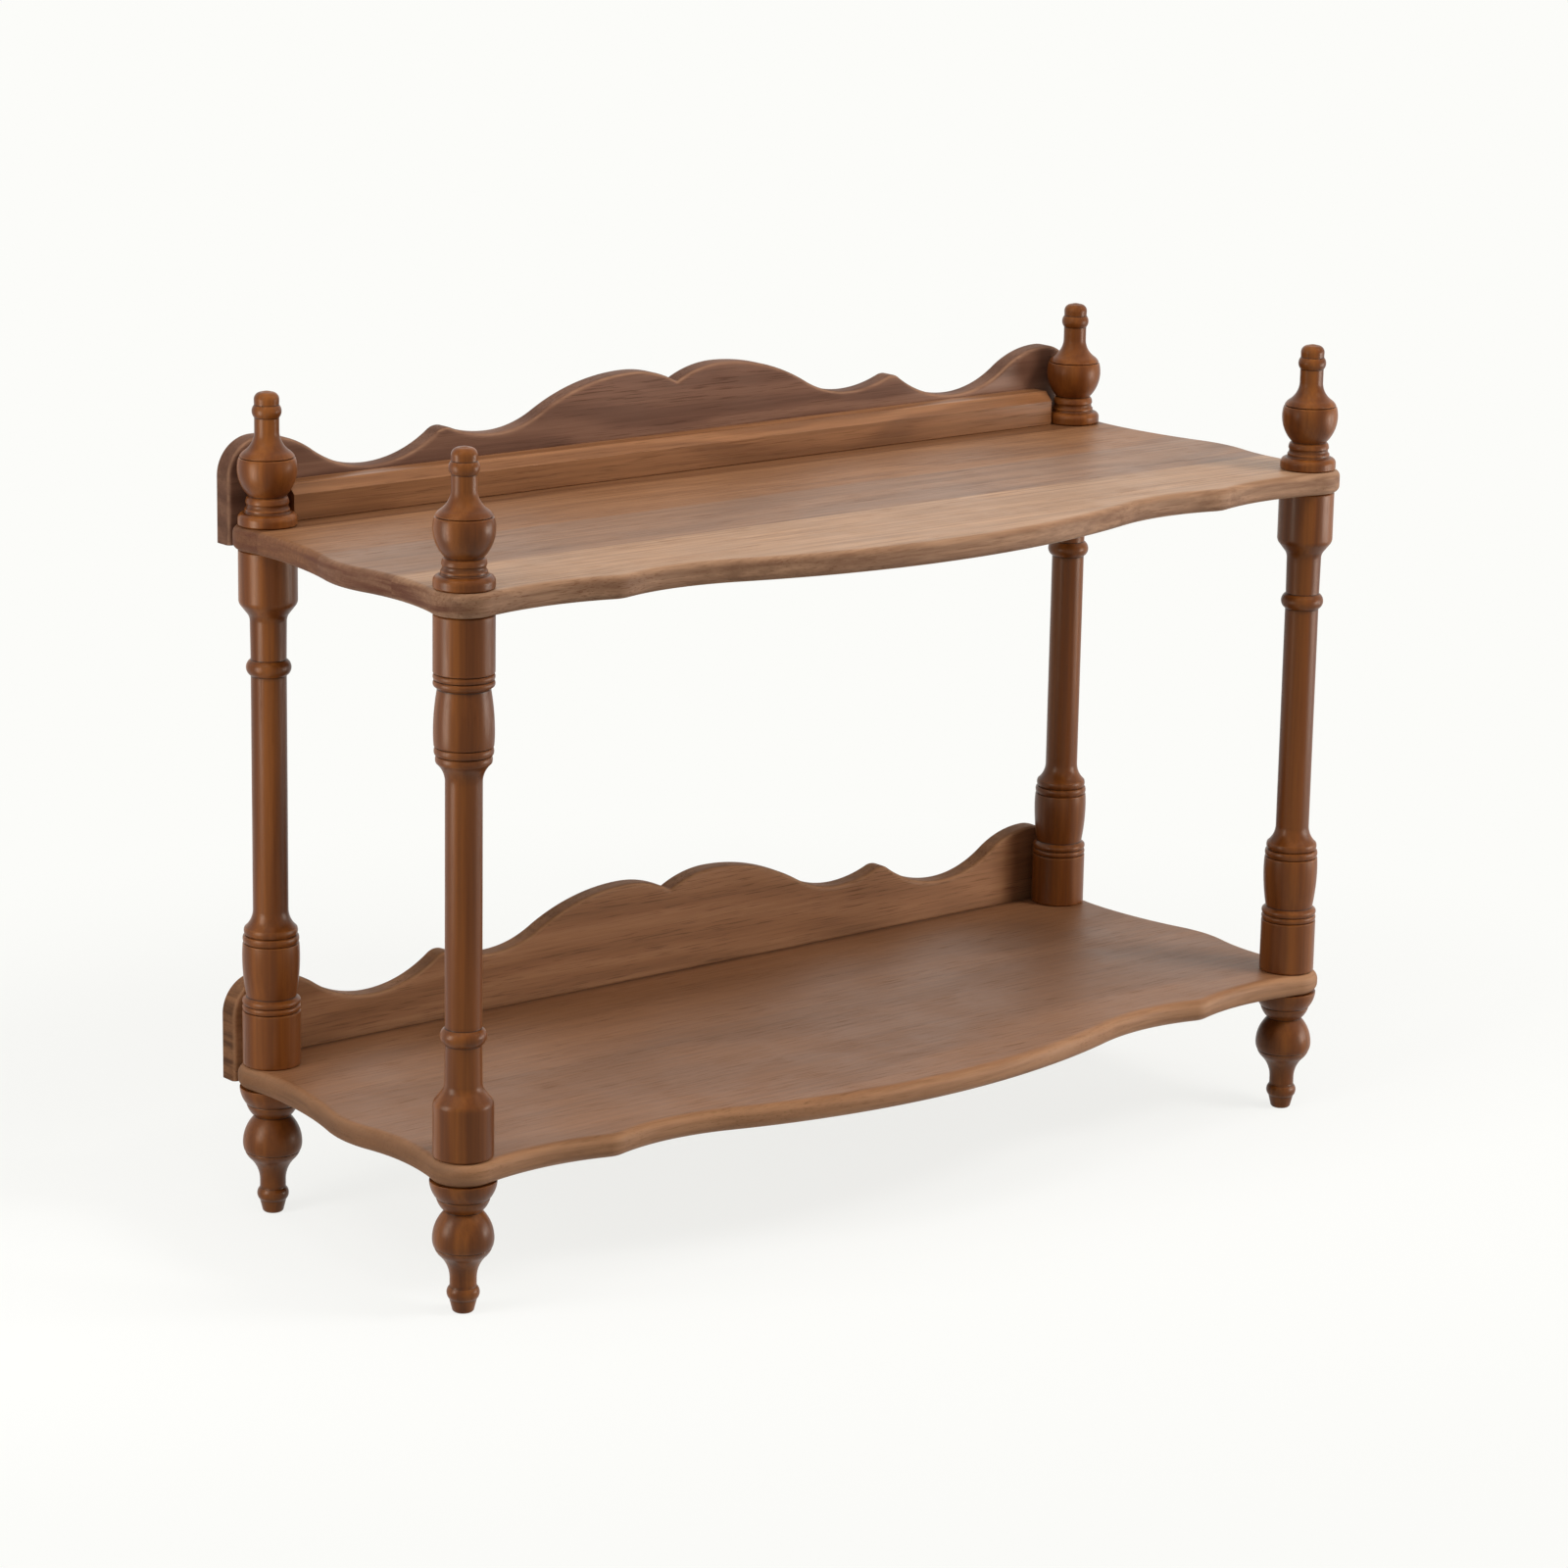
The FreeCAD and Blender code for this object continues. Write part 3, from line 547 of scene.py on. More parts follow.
class Wiring:
    """Adds nodes to a shader tree and joins them up."""

    def __init__(self, tree: bpy.types.NodeTree) -> None:
        """Work on a tree, from an empty start."""
        self.tree = tree
        tree.nodes.clear()

    def add(self, kind: str, values: Optional[dict[Union[int, str], Feed]] = None,
            **settings: object) -> bpy.types.Node:
        """Add a node.

        Args:
            kind: node type without its ShaderNode prefix.
            values: what each input, by name or number, is set to or joined to.
            settings: properties of the node.

        Returns:
            The node.
        """
        prefix = "" if kind.startswith("Node") else "ShaderNode"
        node = self.tree.nodes.new(prefix + kind)
        for name, value in settings.items():
            setattr(node, name, value)
        for key, value in (values or {}).items():
            if isinstance(value, Socket):
                self.tree.links.new(value, node.inputs[key])
            else:
                node.inputs[key].default_value = value
        return node

    def math(self, operation: str, *values: Feed) -> Socket:
        """Join numbers by a Math node and give its result."""
        return self.add("Math", dict(enumerate(values)), operation=operation).outputs[0]

    def vector(self, operation: str, *values: Feed, **named: Feed) -> Socket:
        """Join vectors by a Vector Math node and give its vector."""
        return self.add("VectorMath", dict(enumerate(values)) | named, operation=operation).outputs[0]

    def length(self, vector: Socket) -> Socket:
        """Give the length of a vector."""
        return self.add("VectorMath", {0: vector}, operation="LENGTH").outputs["Value"]

    def noise(self, vector: Socket, speckle: Speckle) -> Sockets:
        """Add a stretched noise texture and give its outputs.

        Args:
            vector: place on the piece.
            speckle: waves, detail and roughness of the noise.

        Returns:
            The texture's outputs.
        """
        stretched = self.vector("MULTIPLY", vector, speckle.waves)
        values = {"Vector": stretched, "Scale": 1.0, "Detail": speckle.detail,
                  "Roughness": speckle.roughness}
        return self.add("TexNoise", values).outputs

    def mask(self, vector: Socket, speckle: Speckle) -> Socket:
        """Give the part of a noise's range that counts, carried to its bottom and top values."""
        raw = self.noise(vector, speckle)[0]
        return self.remap(raw, speckle.low, speckle.high, speckle.bottom, speckle.top)

    def remap(self, value: Socket, low: float, high: float, bottom: float = 0.0, top: float = 1.0) -> Socket:
        """Carry a number from one range to another, smoothly and clamped."""
        values = {0: value, 1: low, 2: high, 3: bottom, 4: top}
        return self.add("MapRange", values, interpolation_type="SMOOTHSTEP").outputs[0]

    def blend(self, factor: Feed, first: Feed, second: Feed, mode: str = "MIX") -> Socket:
        """Mix two colours by a factor."""
        values = {0: factor, 6: first, 7: second}
        return self.add("Mix", values, data_type="RGBA", blend_type=mode).outputs[2]

    def attribute(self, band: str) -> Socket:
        """Read a value that the mesh holds for each vertex."""
        return self.add("Attribute", attribute_name=band).outputs["Fac"]

    def ramp(self, value: Socket, stops: list[tuple[float, Colour]], interpolation: str = "LINEAR") -> Socket:
        """Colour a number by stops.

        Args:
            value: the number, zero to one.
            stops: place and colour of each stop.
            interpolation: how the colours pass into each other.

        Returns:
            The colour.
        """
        node = self.add("ValToRGB", {0: value})
        band = node.color_ramp
        band.interpolation = interpolation
        for index, (place, colour) in enumerate(stops):
            stop = band.elements[index] if index < 2 else band.elements.new(place)
            stop.position = place
            stop.color = colour
        return node.outputs[0]


def new_material(name: str) -> tuple[bpy.types.Material, Wiring]:
    """Make an empty node material and the wiring of its tree.

    Args:
        name: name of the material.

    Returns:
        The material and its wiring.
    """
    material = bpy.data.materials.new(name)
    material.use_nodes = True
    return material, Wiring(material.node_tree)


class Effect:
    """A shader node group that several finishes share."""

    def __init__(self, name: str, inputs: dict[str, str], outputs: dict[str, str]) -> None:
        """Make the group's sockets.

        Args:
            name: name of the group.
            inputs: socket type of each input.
            outputs: socket type of each output.
        """
        self.tree = bpy.data.node_groups.new(name, "ShaderNodeTree")
        for way, sockets in (("INPUT", inputs), ("OUTPUT", outputs)):
            for socket, kind in sockets.items():
                self.tree.interface.new_socket(socket, in_out=way, socket_type="NodeSocket" + kind)
        self.wiring = Wiring(self.tree)
        self.source = self.wiring.add("NodeGroupInput").outputs
        self.sink = self.wiring.add("NodeGroupOutput").inputs

    def give(self, name: str, value: Socket) -> None:
        """Join a value to one of the group's outputs."""
        self.tree.links.new(value, self.sink[name])

    def place(self, wiring: Wiring, values: dict[str, Feed]) -> Sockets:
        """Put the group into a tree with its own values and give its outputs."""
        return wiring.add("Group", values, node_tree=self.tree).outputs


class WalnutGrain(Effect):
    """Growth rings, fibres, pores and flecks of a board whose fibres run along X."""

    DRIFT = Speckle((1.6, 9.0, 9.0))
    SWAY = Speckle((5.0, 16.0, 16.0), detail=2.5)
    STRENGTH = Speckle((2.0, 14.0, 14.0), low=0.35, high=0.65, bottom=0.35)
    FIBRES = Speckle((9.0, 420.0, 420.0), detail=4.0, roughness=0.6, low=0.28, high=0.72)
    PORES = Speckle((42.0, 1500.0, 1500.0), roughness=0.55, low=0.54, high=0.68)
    CLUMPS = Speckle((5.0, 60.0, 60.0), low=0.35, high=0.6, bottom=0.25)
    DASHES = Speckle((11.0, 210.0, 210.0), detail=1.5, low=0.62, high=0.74)
    SPARSE = Speckle((6.0, 22.0, 22.0), detail=1.0, low=0.5, high=0.62)
    FIBRE_HEIGHT = 0.35

    def __init__(self) -> None:
        """Build the group."""
        numbers = ("Figure", "Fibre", "Pores", "Flecks", "Drift", "Height")
        inputs = {"Vector": "Vector", "Pith": "Vector", "Rings": "Float", "Wander": "Float", "Taper": "Float"}
        super().__init__("walnut_grain", inputs, {name: "Float" for name in numbers})
        self.add_rings()
        self.add_fibres()

    def add_rings(self) -> None:
        """Rings are smoothstep(0.5 + 0.5 sin(2 pi rings d)) at the distance d from the wandering pith.

        The distance along the fibres counts taper times, so a large taper closes the rings into
        the nested arches of a flat-sawn board. Their strength comes and goes along the board.
        """
        net = self.wiring
        place = self.source["Vector"]
        sway = net.noise(place, self.SWAY)["Color"]
        centred = net.vector("SUBTRACT", sway, (0.5, 0.5, 0.5))
        bent = net.vector("ADD", place, net.vector("SCALE", centred, Scale=self.source["Wander"]))
        from_pith = net.vector("SUBTRACT", bent, self.source["Pith"])
        taper = net.add("CombineXYZ", {0: self.source["Taper"], 1: 1.0, 2: 1.0}).outputs[0]
        distance = net.length(net.vector("MULTIPLY", from_pith, taper))
        count = net.math("MULTIPLY", distance, self.source["Rings"])
        rings = net.remap(net.math("SINE", net.math("MULTIPLY", count, 2.0 * math.pi)), -1.0, 1.0)
        strength = net.mask(place, self.STRENGTH)
        self.give("Figure", net.math("MULTIPLY_ADD", net.math("SUBTRACT", rings, 0.5), strength, 0.5))
        self.give("Drift", net.mask(place, self.DRIFT))

    def add_fibres(self) -> None:
        """Fibres, pores and flecks are noise drawn out along X; pores and flecks keep only its peaks."""
        net = self.wiring
        place = self.source["Vector"]
        fibre = net.noise(place, self.FIBRES)[0]
        pores = net.math("MULTIPLY", net.mask(place, self.PORES), net.mask(place, self.CLUMPS))
        self.give("Fibre", net.remap(fibre, self.FIBRES.low, self.FIBRES.high))
        self.give("Pores", pores)
        self.give("Flecks", net.math("MULTIPLY", net.mask(place, self.DASHES), net.mask(place, self.SPARSE)))
        self.give("Height", net.math("SUBTRACT", net.math("MULTIPLY", fibre, self.FIBRE_HEIGHT), pores))


class EasedEdges(Effect):
    """Paler arrises, as wear and as painted highlight; darker hollows; darker edges, as end grain and as
    painted shade.
    """

    STREAKS = Speckle((16.0, 20.0, 300.0), detail=4.0, roughness=0.6, low=0.36, high=0.64, top=1.1)
    RUB_AND_HIGHLIGHT_GAPS = 0.3
    SOAK_AND_SHADE_GAPS = 0.65

    def __init__(self) -> None:
        """Build the group: crest, hollow and end_grain values, times their strengths, mix a colour in.

        Crest and end grain come in streaks along X, because cut fibres take finish and wear unevenly;
        between the streaks only a share of the strength, the gaps value, is left. The paler crest is
        partly wear and partly painted highlight; the darker edges are partly end grain and partly
        painted shade.
        """
        inputs = {"Vector": "Vector", "Color": "Color", "RubbedAndHighlit": "Color", "PooledAndShade": "Color",
                  "RubAndHighlight": "Float", "HollowDarkening": "Float", "SoakAndShade": "Float"}
        super().__init__("eased_edges", inputs, {"Color": "Color"})
        net = self.wiring
        drawn = net.noise(self.source["Vector"], self.STREAKS)[0]
        colour = self.source["Color"]
        # Hollow values darken grooves and coves by their curvature.
        for band, strength, target, gaps in (("crest", "RubAndHighlight", "RubbedAndHighlit", self.RUB_AND_HIGHLIGHT_GAPS),
                                             ("hollow", "HollowDarkening", "PooledAndShade", None),
                                             # Edge values darken upright edges towards the dark colour, as
                                             # end grain and as painted shade.
                                             ("end_grain", "SoakAndShade", "PooledAndShade", self.SOAK_AND_SHADE_GAPS)):
            share = net.math("MULTIPLY", net.attribute(band), self.source[strength])
            if gaps is not None:
                streaks = net.remap(drawn, self.STREAKS.low, self.STREAKS.high, gaps, self.STREAKS.top)
                share = net.math("MULTIPLY", share, streaks)
            colour = net.blend(share, colour, self.source[target])
        self.give("Color", colour)


class SatinFilm(Effect):
    """Roughness of a hand-rubbed satin lacquer, with faint clouds and duller pores and end grain."""

    CLOUDS = Speckle((24.0, 24.0, 24.0), detail=4.0, roughness=0.6)
    PORE_DULLNESS = 0.2
    END_DULLNESS = 0.4

    def __init__(self) -> None:
        """Build the group: roughness is low + (high - low) clouds + what pores and end grain add."""
        inputs = {"Vector": "Vector", "Pores": "Float", "Low": "Float", "High": "Float"}
        super().__init__("satin_film", inputs, {"Roughness": "Float"})
        net = self.wiring
        clouds = net.mask(self.source["Vector"], self.CLOUDS)
        spread = net.math("SUBTRACT", self.source["High"], self.source["Low"])
        base = net.math("MULTIPLY_ADD", clouds, spread, self.source["Low"])
        pored = net.math("MULTIPLY_ADD", self.source["Pores"], self.PORE_DULLNESS, base)
        ended = net.math("MULTIPLY_ADD", net.attribute("end_grain"), self.END_DULLNESS, pored)
        self.give("Roughness", ended)


@dataclass
class Effects:
    """The shared node groups."""

    grain: WalnutGrain
    edges: EasedEdges
    film: SatinFilm

    @classmethod
    def build(cls) -> "Effects":
        """Make each group once."""
        return cls(WalnutGrain(), EasedEdges(), SatinFilm())


@dataclass(frozen=True)
class WalnutFinish:
    """Lacquered walnut: its tones, the lie and scale of its figure, and its sheen."""

    STAVE_STEPS = (0.37, 0.61, 0.83)
    STAVE_SHIFT = (3.0, 0.4, 0.4)
    STAVE_SPAN = 0.25
    FIBRE_SHADE = tone(150, 138, 128)

    name: str
    slot: str
    dark: Colour
    middle: Colour
    light: Colour
    shade: Colour
    rubbed_and_highlit: Colour
    pooled_and_shade: Colour
    grain: Grain
    pith: Triple
    rings: float
    wander: float
    taper: float = 0.02
    drift: float = 0.5
    fibre: float = 0.35
    pores: float = 0.45
    flecks: float = 0.0
    # Paler arrises: wear, with a painted highlight along them.
    rub_and_highlight: float = 0.5
    # Darkening of grooves and coves, by their curvature.
    hollow_darkening: float = 0.7
    # Darkening of upright edges: end grain partly, painted shade on the edges partly.
    soak_and_shade: float = 0.75
    low_roughness: float = 0.34
    high_roughness: float = 0.46
    specular: float = 0.4
    gloss_tint: Colour = tone(255, 234, 214)
    bump: float = 0.12
    bump_depth: float = 0.0006
    staves: tuple[tuple[float, Colour], ...] = ()
    stave_share: float = 0.6
    # Band of depths, in metres, darkened towards the back: a dark joint line plus painted contact shade.
    joint_shade: Optional[tuple[float, float]] = None

    def material(self, effects: Effects) -> bpy.types.Material:
        """Build the material.

        Args:
            effects: the shared node groups.

        Returns:
            The material, with its pattern on object coordinates.
        """
        material, net = new_material(self.name)
        place = net.add("TexCoord").outputs["Object"]
        turns = [math.radians(angle) for angle in self.grain.value]
        turned = net.add("Mapping", {"Vector": place, "Rotation": turns})
        along = self.stave_place(net, place, turned.outputs[0])
        grain = effects.grain.place(net, {"Vector": along, "Pith": self.pith, "Rings": self.rings,
                                          "Wander": self.wander, "Taper": self.taper})
        colour = self.wood_colour(net, place, grain)
        eased = effects.edges.place(net, {"Vector": along, "Color": colour, "RubbedAndHighlit": self.rubbed_and_highlit,
                                          "PooledAndShade": self.pooled_and_shade, "RubAndHighlight": self.rub_and_highlight, "HollowDarkening": self.hollow_darkening,
                                          "SoakAndShade": self.soak_and_shade})["Color"]
        # Darken the top towards its back edge: a dark joint line with painted contact shade fading forwards
        # from it.
        if self.joint_shade:
            depth = net.add("SeparateXYZ", {0: place}).outputs["Y"]
            eased = net.blend(net.remap(depth, *self.joint_shade), eased, self.pooled_and_shade)
        film = effects.film.place(net, {"Vector": place, "Pores": grain["Pores"], "Low": self.low_roughness,
                                        "High": self.high_roughness})
        bump = net.add("Bump", {"Strength": self.bump, "Distance": self.bump_depth,
                                "Height": grain["Height"]})
        shader = net.add("BsdfPrincipled", {
            "Base Color": eased, "Roughness": film["Roughness"], "Normal": bump.outputs[0],
            "Specular IOR Level": self.specular, "Specular Tint": self.gloss_tint,
        })
        net.add("OutputMaterial", {"Surface": shader.outputs[0]})
        return material

    def stave_place(self, net: Wiring, place: Socket, along: Socket) -> Socket:
        """Shift the pattern from stave to stave, so that each glued stave has a figure of its own.

        Args:
            net: wiring of the material.
            place: place on the piece.
            along: that place, turned to the fibres.

        Returns:
            The place at which the figure is read.
        """
        if not self.staves:
            return along
        levels = [(edge, (*(step * index % 1.0 for step in self.STAVE_STEPS), 1.0))
                  for index, (edge, _) in enumerate(self.staves)]
        shift = net.vector("MULTIPLY", self.stave_ramp(net, place, levels), self.STAVE_SHIFT)
        return net.vector("ADD", along, shift)

    def stave_ramp(self, net: Wiring, place: Socket, stops: list[tuple[float, Colour]]) -> Socket:
        """Give each stave, from front to back, its own colour; the edges are in metres.

        A depth y is carried to y / STAVE_SPAN + 0.5, so the ramp spans the staves about the middle.

        Args:
            net: wiring of the material.
            place: place on the piece.
            stops: front edge and colour of each stave.

        Returns:
            The colour of the stave.
        """
        depth = net.add("SeparateXYZ", {0: place}).outputs["Y"]
        share = net.math("MULTIPLY_ADD", depth, 1.0 / self.STAVE_SPAN, 0.5)
        return net.ramp(share, [(edge / self.STAVE_SPAN + 0.5, colour) for edge, colour in stops], "CONSTANT")

    def wood_colour(self, net: Wiring, place: Socket, grain: Sockets) -> Socket:
        """Lay ring colour, staves, drift, fibres, flecks and pores over each other.

        Args:
            net: wiring of the material.
            place: place on the piece.
            grain: outputs of the grain group.

        Returns:
            The colour of the wood.
        """
        figure = net.ramp(grain["Figure"], [(0.0, self.dark), (1.0, self.light), (0.5, self.middle)])
        colour = net.blend(net.math("MULTIPLY", grain["Drift"], self.drift), figure, self.shade)
        if self.staves:
            # On the upper shelf these stave colours hold painted shade at the back and painted sheen at the
            # front, besides the staves' own tones.
            colour = net.blend(self.stave_share, colour, self.stave_ramp(net, place, list(self.staves)))
        fibres = net.blend(grain["Fibre"], self.FIBRE_SHADE, WHITE)
        colour = net.blend(self.fibre, colour, net.blend(1.0, colour, fibres, "MULTIPLY"))
        colour = net.blend(net.math("MULTIPLY", grain["Flecks"], self.flecks), colour, self.dark)
        return net.blend(net.math("MULTIPLY", grain["Pores"], self.pores), colour, self.pooled_and_shade)


@dataclass(frozen=True)
class MetalFinish:
    """Plated hardware with a fine brushed grain."""

    BRUSHING = Speckle((900.0, 900.0, 120.0), detail=3.0)

    name: str
    slot: str
    colour: Colour
    worn: Colour
    low_roughness: float
    high_roughness: float

    def material(self) -> bpy.types.Material:
        """Build the material: a brushed mask varies the colour and the roughness.

        Returns:
            The material, with its pattern on object coordinates.
        """
        material, net = new_material(self.name)
        place = net.add("TexCoord").outputs["Object"]
        brushed = net.noise(place, self.BRUSHING)[0]
        shader = net.add("BsdfPrincipled", {
            "Base Color": net.blend(brushed, self.colour, self.worn), "Metallic": 1.0,
            "Roughness": net.remap(brushed, self.BRUSHING.low, self.BRUSHING.high,
                                   self.low_roughness, self.high_roughness),
        })
        net.add("OutputMaterial", {"Surface": shader.outputs[0]})
        return material


TURNED_WALNUT = WalnutFinish(
    name="turned_walnut", slot="turned_wood", dark=tone(92, 47, 17), middle=tone(111, 60, 21),
    light=tone(126, 72, 28), shade=tone(98, 51, 18), rubbed_and_highlit=tone(138, 86, 46), pooled_and_shade=tone(36, 15, 6),
    grain=Grain.UPRIGHT, pith=(0.0, 0.4, 0.4), rings=70.0, wander=0.02, drift=0.35, fibre=0.4,
    pores=0.15, rub_and_highlight=0.3, hollow_darkening=0.95, low_roughness=0.28, high_roughness=0.36, specular=0.28, bump=0.04)
# Depths in metres over which the lower shelf's top darkens towards the back board: a dark joint line, widened
# into painted contact shade that fades forwards.
SHELF_JOINT_SHADE = (0.1035, 0.1118)
# Front edge, in metres, and colour of each stave of the upper shelf. Besides the staves' own tones, the two
# back colours are darkened as painted shade from the rail and back board, and the front and middle colours
# are paled and greyed as painted sheen.
SHELF_STAVES_SHADE_AND_SHEEN = (
    (-0.125, tone(182, 145, 114)),
    (-0.0427, tone(134, 104, 84)),
    (0.0193, tone(138, 96, 64)),
    (0.0813, tone(94, 58, 33)),
)
UPPER_SHELF_WALNUT = WalnutFinish(
    name="upper_shelf_walnut", slot="shelf_wood", dark=tone(112, 76, 50), middle=tone(142, 100, 68),
    light=tone(160, 115, 80), shade=tone(130, 90, 61), rubbed_and_highlit=tone(176, 124, 82), pooled_and_shade=tone(72, 36, 21),
    grain=Grain.LENGTHWISE, pith=(0.0, 0.02, -0.06), rings=95.0, wander=0.05, staves=SHELF_STAVES_SHADE_AND_SHEEN,
    stave_share=0.66, fibre=0.6, flecks=0.35, rub_and_highlight=0.1, soak_and_shade=0.9, low_roughness=0.4, high_roughness=0.48,
    specular=0.55)
LOWER_SHELF_WALNUT = WalnutFinish(
    name="lower_shelf_walnut", slot="shelf_wood", dark=tone(118, 78, 49), middle=tone(133, 90, 59),
    light=tone(144, 99, 66), shade=tone(127, 85, 55), rubbed_and_highlit=tone(194, 144, 104), pooled_and_shade=tone(62, 36, 20),
    grain=Grain.LENGTHWISE, pith=(0.0, -0.03, 0.3), rings=40.0, wander=0.05, fibre=0.3, flecks=0.7,
    rub_and_highlight=0.48, low_roughness=0.4, high_roughness=0.48, specular=0.52, joint_shade=SHELF_JOINT_SHADE)
UPPER_BOARD_WALNUT = WalnutFinish(
    name="upper_board_walnut", slot="board_wood", dark=tone(92, 62, 48), middle=tone(114, 80, 63),
    light=tone(130, 94, 74), shade=tone(104, 72, 57), rubbed_and_highlit=tone(160, 120, 92), pooled_and_shade=tone(46, 27, 18),
    grain=Grain.LENGTHWISE, pith=(0.0, 0.16, 0.22), rings=60.0, wander=0.05, fibre=0.35, flecks=0.2,
    rub_and_highlight=0.6, soak_and_shade=0.45, low_roughness=0.4, high_roughness=0.5, specular=0.28)
# Tones of the lower board, kept lighter than the upper board's to make up for the shade that the upper shelf
# casts on it: painted light.
LOWER_BOARD_WALNUT_PAINTED_LIGHT = WalnutFinish(
    name="lower_board_walnut_painted_light", slot="board_wood", dark=tone(140, 96, 64), middle=tone(154, 107, 73),
    light=tone(163, 115, 80), shade=tone(150, 103, 70), rubbed_and_highlit=tone(196, 146, 106), pooled_and_shade=tone(56, 32, 18),
    grain=Grain.LENGTHWISE, pith=(-0.06, 0.12, 0.06), rings=62.0, wander=0.035, taper=0.2, fibre=0.3,
    flecks=0.2, rub_and_highlight=0.6, soak_and_shade=0.85, low_roughness=0.4, high_roughness=0.5, specular=0.28)
RAIL_WALNUT = WalnutFinish(
    name="rail_walnut", slot="rail_wood", dark=tone(112, 72, 44), middle=tone(134, 89, 57),
    light=tone(145, 99, 65), shade=tone(126, 83, 52), rubbed_and_highlit=tone(166, 120, 84), pooled_and_shade=tone(76, 46, 26),
    grain=Grain.LENGTHWISE, pith=(0.0, 0.02, 0.36), rings=120.0, wander=0.03, fibre=0.4, flecks=0.3, rub_and_highlight=0.2)
ZINC = MetalFinish("zinc_plate", "zinc_steel", tone(176, 178, 182), tone(146, 148, 152), 0.28, 0.42)
BRASS = MetalFinish("insert_brass", "insert_brass", tone(196, 158, 92), tone(168, 128, 66), 0.28, 0.4)


def node_seat(node: str) -> tuple[float, float, float, float]:
    """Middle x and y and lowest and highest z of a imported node, in millimetres."""
    low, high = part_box(node)
    return ((low.x + high.x) / 2.0 / MM, (low.y + high.y) / 2.0 / MM, low.z / MM, high.z / MM)


def seat_piece(piece: Piece, node: str, material: bpy.types.Material) -> None:
    """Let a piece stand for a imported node, ride with the shelf and wear a finish.

    Args:
        piece: the new piece.
        node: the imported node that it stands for.
        material: the finish.
    """
    piece.data.materials.append(material)
    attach(piece, ROOT)
    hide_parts(node)
    LOG.info("%s: %d faces stand for %s", piece.name, len(piece.data.polygons), node)


@dataclass
class Turned:
    """A piece turned between centres."""

    easing: float = 0.16
    fine_step: float = 0.05
    stations: int = 300
    spokes: int = 80
    crowding: float = 0.75
    line_width: float = 0.7

    def profile(self) -> Turning:
        """Half profile from the bottom pole to the top pole."""
        raise NotImplementedError

    def build(self, node: str, upside_down: bool = False) -> Piece:
        """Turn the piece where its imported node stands.

        Args:
            node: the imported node.
            upside_down: whether the piece stands on its other end.

        Returns:
            The turned piece, with crest and hollow values from its curvature.
        """
        x, y, bottom, top = node_seat(node)
        line = soften(self.profile().points(), self.easing, self.fine_step)
        sharp = bending(line) * self.line_width
        places = crowd(line, self.stations, self.crowding)
        index = np.arange(len(line))
        thinned = np.stack([np.interp(places, index, part) for part in line.T], axis=1)
        crest, hollow = (np.interp(places, index, np.clip(side * sharp, 0.0, 1.0)) for side in (1.0, -1.0))
        thinned[:, 1] *= (top - bottom) / line[-1, 1]
        if upside_down:
            thinned = np.stack([thinned[::-1, 0], top - bottom - thinned[::-1, 1]], axis=1)
            crest, hollow = crest[::-1], hollow[::-1]
        thinned[[0, -1], 0] = 0.0
        thinned[:, 1] += bottom
        return revolve(f"turned_{node}", thinned, self.spokes, x, y, crest=crest, hollow=hollow)


@dataclass
class Post(Turned):
    """Post with a plain base, a vase between incised beads, a ringed shaft and a coned top."""

    length: float = 270.0
    radius: float = 15.0
    base_length: float = 28.6
    base_beads: int = 2
    base_bead: float = 2.5
    step_length: float = 1.4
    waist_radius: float = 12.9
    vase_lower: float = 21.5
    vase_radius: float = 14.8
    vase_upper: float = 6.5
    shoulder_radius: float = 14.5
    vase_bead: float = 3.4
    rim_radius: float = 13.5
    cove_length: float = 9.5
    shaft_radius: float = 9.1
    ring_length: float = 8.4
    ring_bulge: float = 2.4
    short_shaft: float = 19.6
    short_radius: float = 9.35
    flare_length: float = 3.8
    flare_radius: float = 10.5
    cone_length: float = 4.2
    cone_radius: float = 13.8
    lip_length: float = 3.2
    top_length: float = 25.9

    def profile(self) -> Turning:
        """Half profile from the vase end to the coned end.

        Returns:
            The profile, from pole to pole.
        """
        post = Turning.standing(self.radius)
        post.rise(self.radius, self.base_length - post.ARRIS)
        for _ in range(self.base_beads):
            post.groove(self.radius - post.BEAD_BULGE)
            post.bead(self.base_bead, post.BEAD_BULGE)
        post.rise(self.waist_radius, self.step_length)
        post.ease(self.vase_radius, self.vase_lower)
        post.ease(self.shoulder_radius, self.vase_upper)
        post.groove(self.shoulder_radius - post.BEAD_BULGE)
        post.bead(self.vase_bead, post.BEAD_BULGE)
        post.groove(self.rim_radius)
        post.bead(self.vase_bead, post.BEAD_BULGE)
        post.ease(self.shaft_radius, self.cove_length, Turn.RIGHT)
        above = self.ring_length + self.short_shaft + self.flare_length + self.cone_length
        above += self.lip_length + self.top_length
        post.line(self.shaft_radius, self.length - above)
        post.bead(self.ring_length, self.ring_bulge)
        post.rise(self.short_radius, self.short_shaft)
        post.ease(self.flare_radius, self.flare_length, Turn.RIGHT)
        post.rise(self.cone_radius, self.cone_length)
        post.ease(self.radius, self.lip_length)
        post.rise(self.radius, self.top_length - post.ARRIS)
        post.rise(self.radius - post.ARRIS, post.ARRIS)
        post.line(0.0, self.length)
        return post


